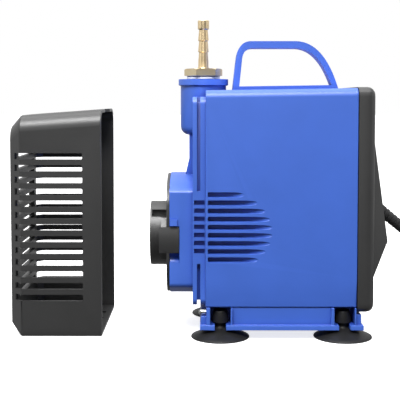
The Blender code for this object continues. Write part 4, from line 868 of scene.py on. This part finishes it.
def make_plug():
    """Moulded plug with a waisted grip and a ribbed tail."""
    tail, y, z = PLUG_TAIL * MM, PLUG_Y, PLUG_Z
    sleeve = [(0.0, tail)]
    for i in range(5):
        along, radius = tail - i * 3.4 * MM, (4.5 + 0.24 * i) * MM
        groove = radius - 0.6 * MM
        sleeve += [(radius, along), (radius, along - 2.2 * MM), (groove, along - 2.5 * MM),
                   (groove, along - 3.2 * MM)]
    sleeve += [(5.6 * MM, tail - 17.5 * MM), (5.6 * MM, tail - 19.5 * MM), (0.0, tail - 19.5 * MM)]
    plug = turned("plug", sleeve, "X", (0, y, z), 40, 30)
    sections = [(PLUG_TAIL - back, wide, high) for back, wide, high in (
        (17.6, 7.4, 7.4), (19.0, 8.2, 8.0), (24.0, 10.6, 9.4), (30.0, 13.0, 10.9),
        (36.0, 12.4, 10.6), (41.0, 12.3, 10.6), (46.0, 13.0, 11.0))]
    sections.append((PLUG_FACE, 13.0, 11.0))
    bm = bmesh.new()
    rings = []
    for x, wide, high in sections:
        points = []
        for a in range(24):
            turn = math.tau * (a + 0.5) / 24
            c, d = math.cos(turn), math.sin(turn)
            points.append((math.copysign(abs(c) ** 0.45, c) * wide,
                           math.copysign(abs(d) ** 0.45, d) * high))
        rings.append([bm.verts.new((x * MM, y + a * MM, z + b * MM)) for a, b in points])
    add_skin(bm, rings)
    weld(plug, edge_round(add_object("plug_body", bm, 50), 0.9 * MM, 3, 60, 50))
    grips = boxes("grips", [(((200.0 + 2.6 * i) * MM, (201.0 + 2.6 * i) * MM), across,
                             (z - 6 * MM, z + 6 * MM))
                            for across in ((y - 20 * MM, y - 11.7 * MM),
                                           (y + 11.7 * MM, y + 20 * MM)) for i in range(4)])
    cut(plug, grips)
    return even_shading(plug, 35)


gland = stand_for(make_gland(), "cord_strain_relief")
tie = stand_for(make_tie(), "cord_tie")
plug = stand_for(make_plug(), "mains_plug")
for node in ("plug_blade_line", "plug_blade_neutral"):
    stand_for(edge_round(from_cad(node, node + "_fine"), 0.35 * MM, 3), node)
pin = turned("earth_pin", [(r * MM, (PLUG_FACE - d) * MM) for r, d in (
    (0.0, 19.0), (0.8, 18.9), (1.5, 18.4), (2.1, 17.6), (2.4, 16.6), (2.4, 0.3), (0.0, 0.3))],
    "X", (0, PLUG_Y, 20.8 * MM), 32)
stand_for(pin, "plug_pin_earth")


# ---------------------------------------------------------------- room and light

FLOOR_DROP = 0.0002                   # keeps the floor clear of the rims that stand on it
SKY_HEIGHT = (0.30, 1.0)              # how bright the tent is low down and high up
SKY_DEPTH = (0.14, 1.10)              # and in front and behind
PUMP_MIDDLE = (0.0, 0.0, 0.08)


def add_floor():
    bm = bmesh.new()
    bmesh.ops.create_grid(bm, x_segments=2, y_segments=2, size=9.0)
    floor = add_object("floor", bm)
    floor.location.z = -FLOOR_DROP
    material, nodes, links, shader = tree("floor_white")
    tone = noise(nodes, links, 3.0)
    links.new(mix_colour(nodes, links, tone, (0.90, 0.90, 0.905), (0.93, 0.93, 0.932)),
              shader.inputs["Base Color"])
    shader.inputs["Roughness"].default_value = 0.9
    shader.inputs["Specular IOR Level"].default_value = 0.1
    shader.inputs["Emission Color"].default_value = (1.0, 1.0, 1.0, 1.0)
    shader.inputs["Emission Strength"].default_value = 0.75
    floor.data.materials.append(material)
    floor.visible_diffuse = False
    floor.visible_glossy = False


def add_light(name, place, aim, size, power):
    """Soft rectangular lamp, its size in metres and its power in watts."""
    data = bpy.data.lights.new(name, "AREA")
    data.shape = "RECTANGLE"
    data.size, data.size_y = size
    data.energy = power
    lamp = link(bpy.data.objects.new(name, data))
    lamp.location = place
    lamp.rotation_euler = (Vector(aim) - Vector(place)).to_track_quat("-Z", "Y").to_euler()


def add_world():
    """White to the camera; for everything else a soft tent, brighter above and behind."""
    world = bpy.data.worlds.new("white_room")
    world.use_nodes = True
    nodes, links = world.node_tree.nodes, world.node_tree.links
    place = nodes.new("ShaderNodeTexCoord")
    split = nodes.new("ShaderNodeSeparateXYZ")
    links.new(place.outputs["Generated"], split.inputs["Vector"])
    height = spread_value(nodes, links, split.outputs["Z"], *SKY_HEIGHT, -0.6, 0.5)
    depth = spread_value(nodes, links, split.outputs["Y"], *SKY_DEPTH, -0.9, 0.9)
    product = nodes.new("ShaderNodeMath")
    product.operation = "MULTIPLY"
    links.new(height, product.inputs[0])
    links.new(depth, product.inputs[1])
    sky = product.outputs["Value"]
    path = nodes.new("ShaderNodeLightPath")
    seen = mix_colour(nodes, links, path.outputs["Is Camera Ray"], sky, (1.0, 1.0, 1.0))
    links.new(seen, nodes["Background"].inputs["Color"])
    bpy.context.scene.world = world


add_floor()
add_world()
add_light("key", (-0.2, -0.95, 1.35), PUMP_MIDDLE, (1.1, 0.6), 37.0)
add_light("top", (0.0, 0.25, 1.4), PUMP_MIDDLE, (1.5, 1.0), 10.0)
add_light("front", (-0.1, -1.6, 0.45), (0.0, 0.0, 0.2), (0.5, 0.35), 1.0)
add_light("left", (-1.5, -0.5, 0.6), PUMP_MIDDLE, (0.7, 1.1), 2.2)
add_light("right", (1.6, -0.45, 0.5), PUMP_MIDDLE, (0.6, 1.0), 1.4)
bpy.context.scene.view_settings.view_transform = "Standard"
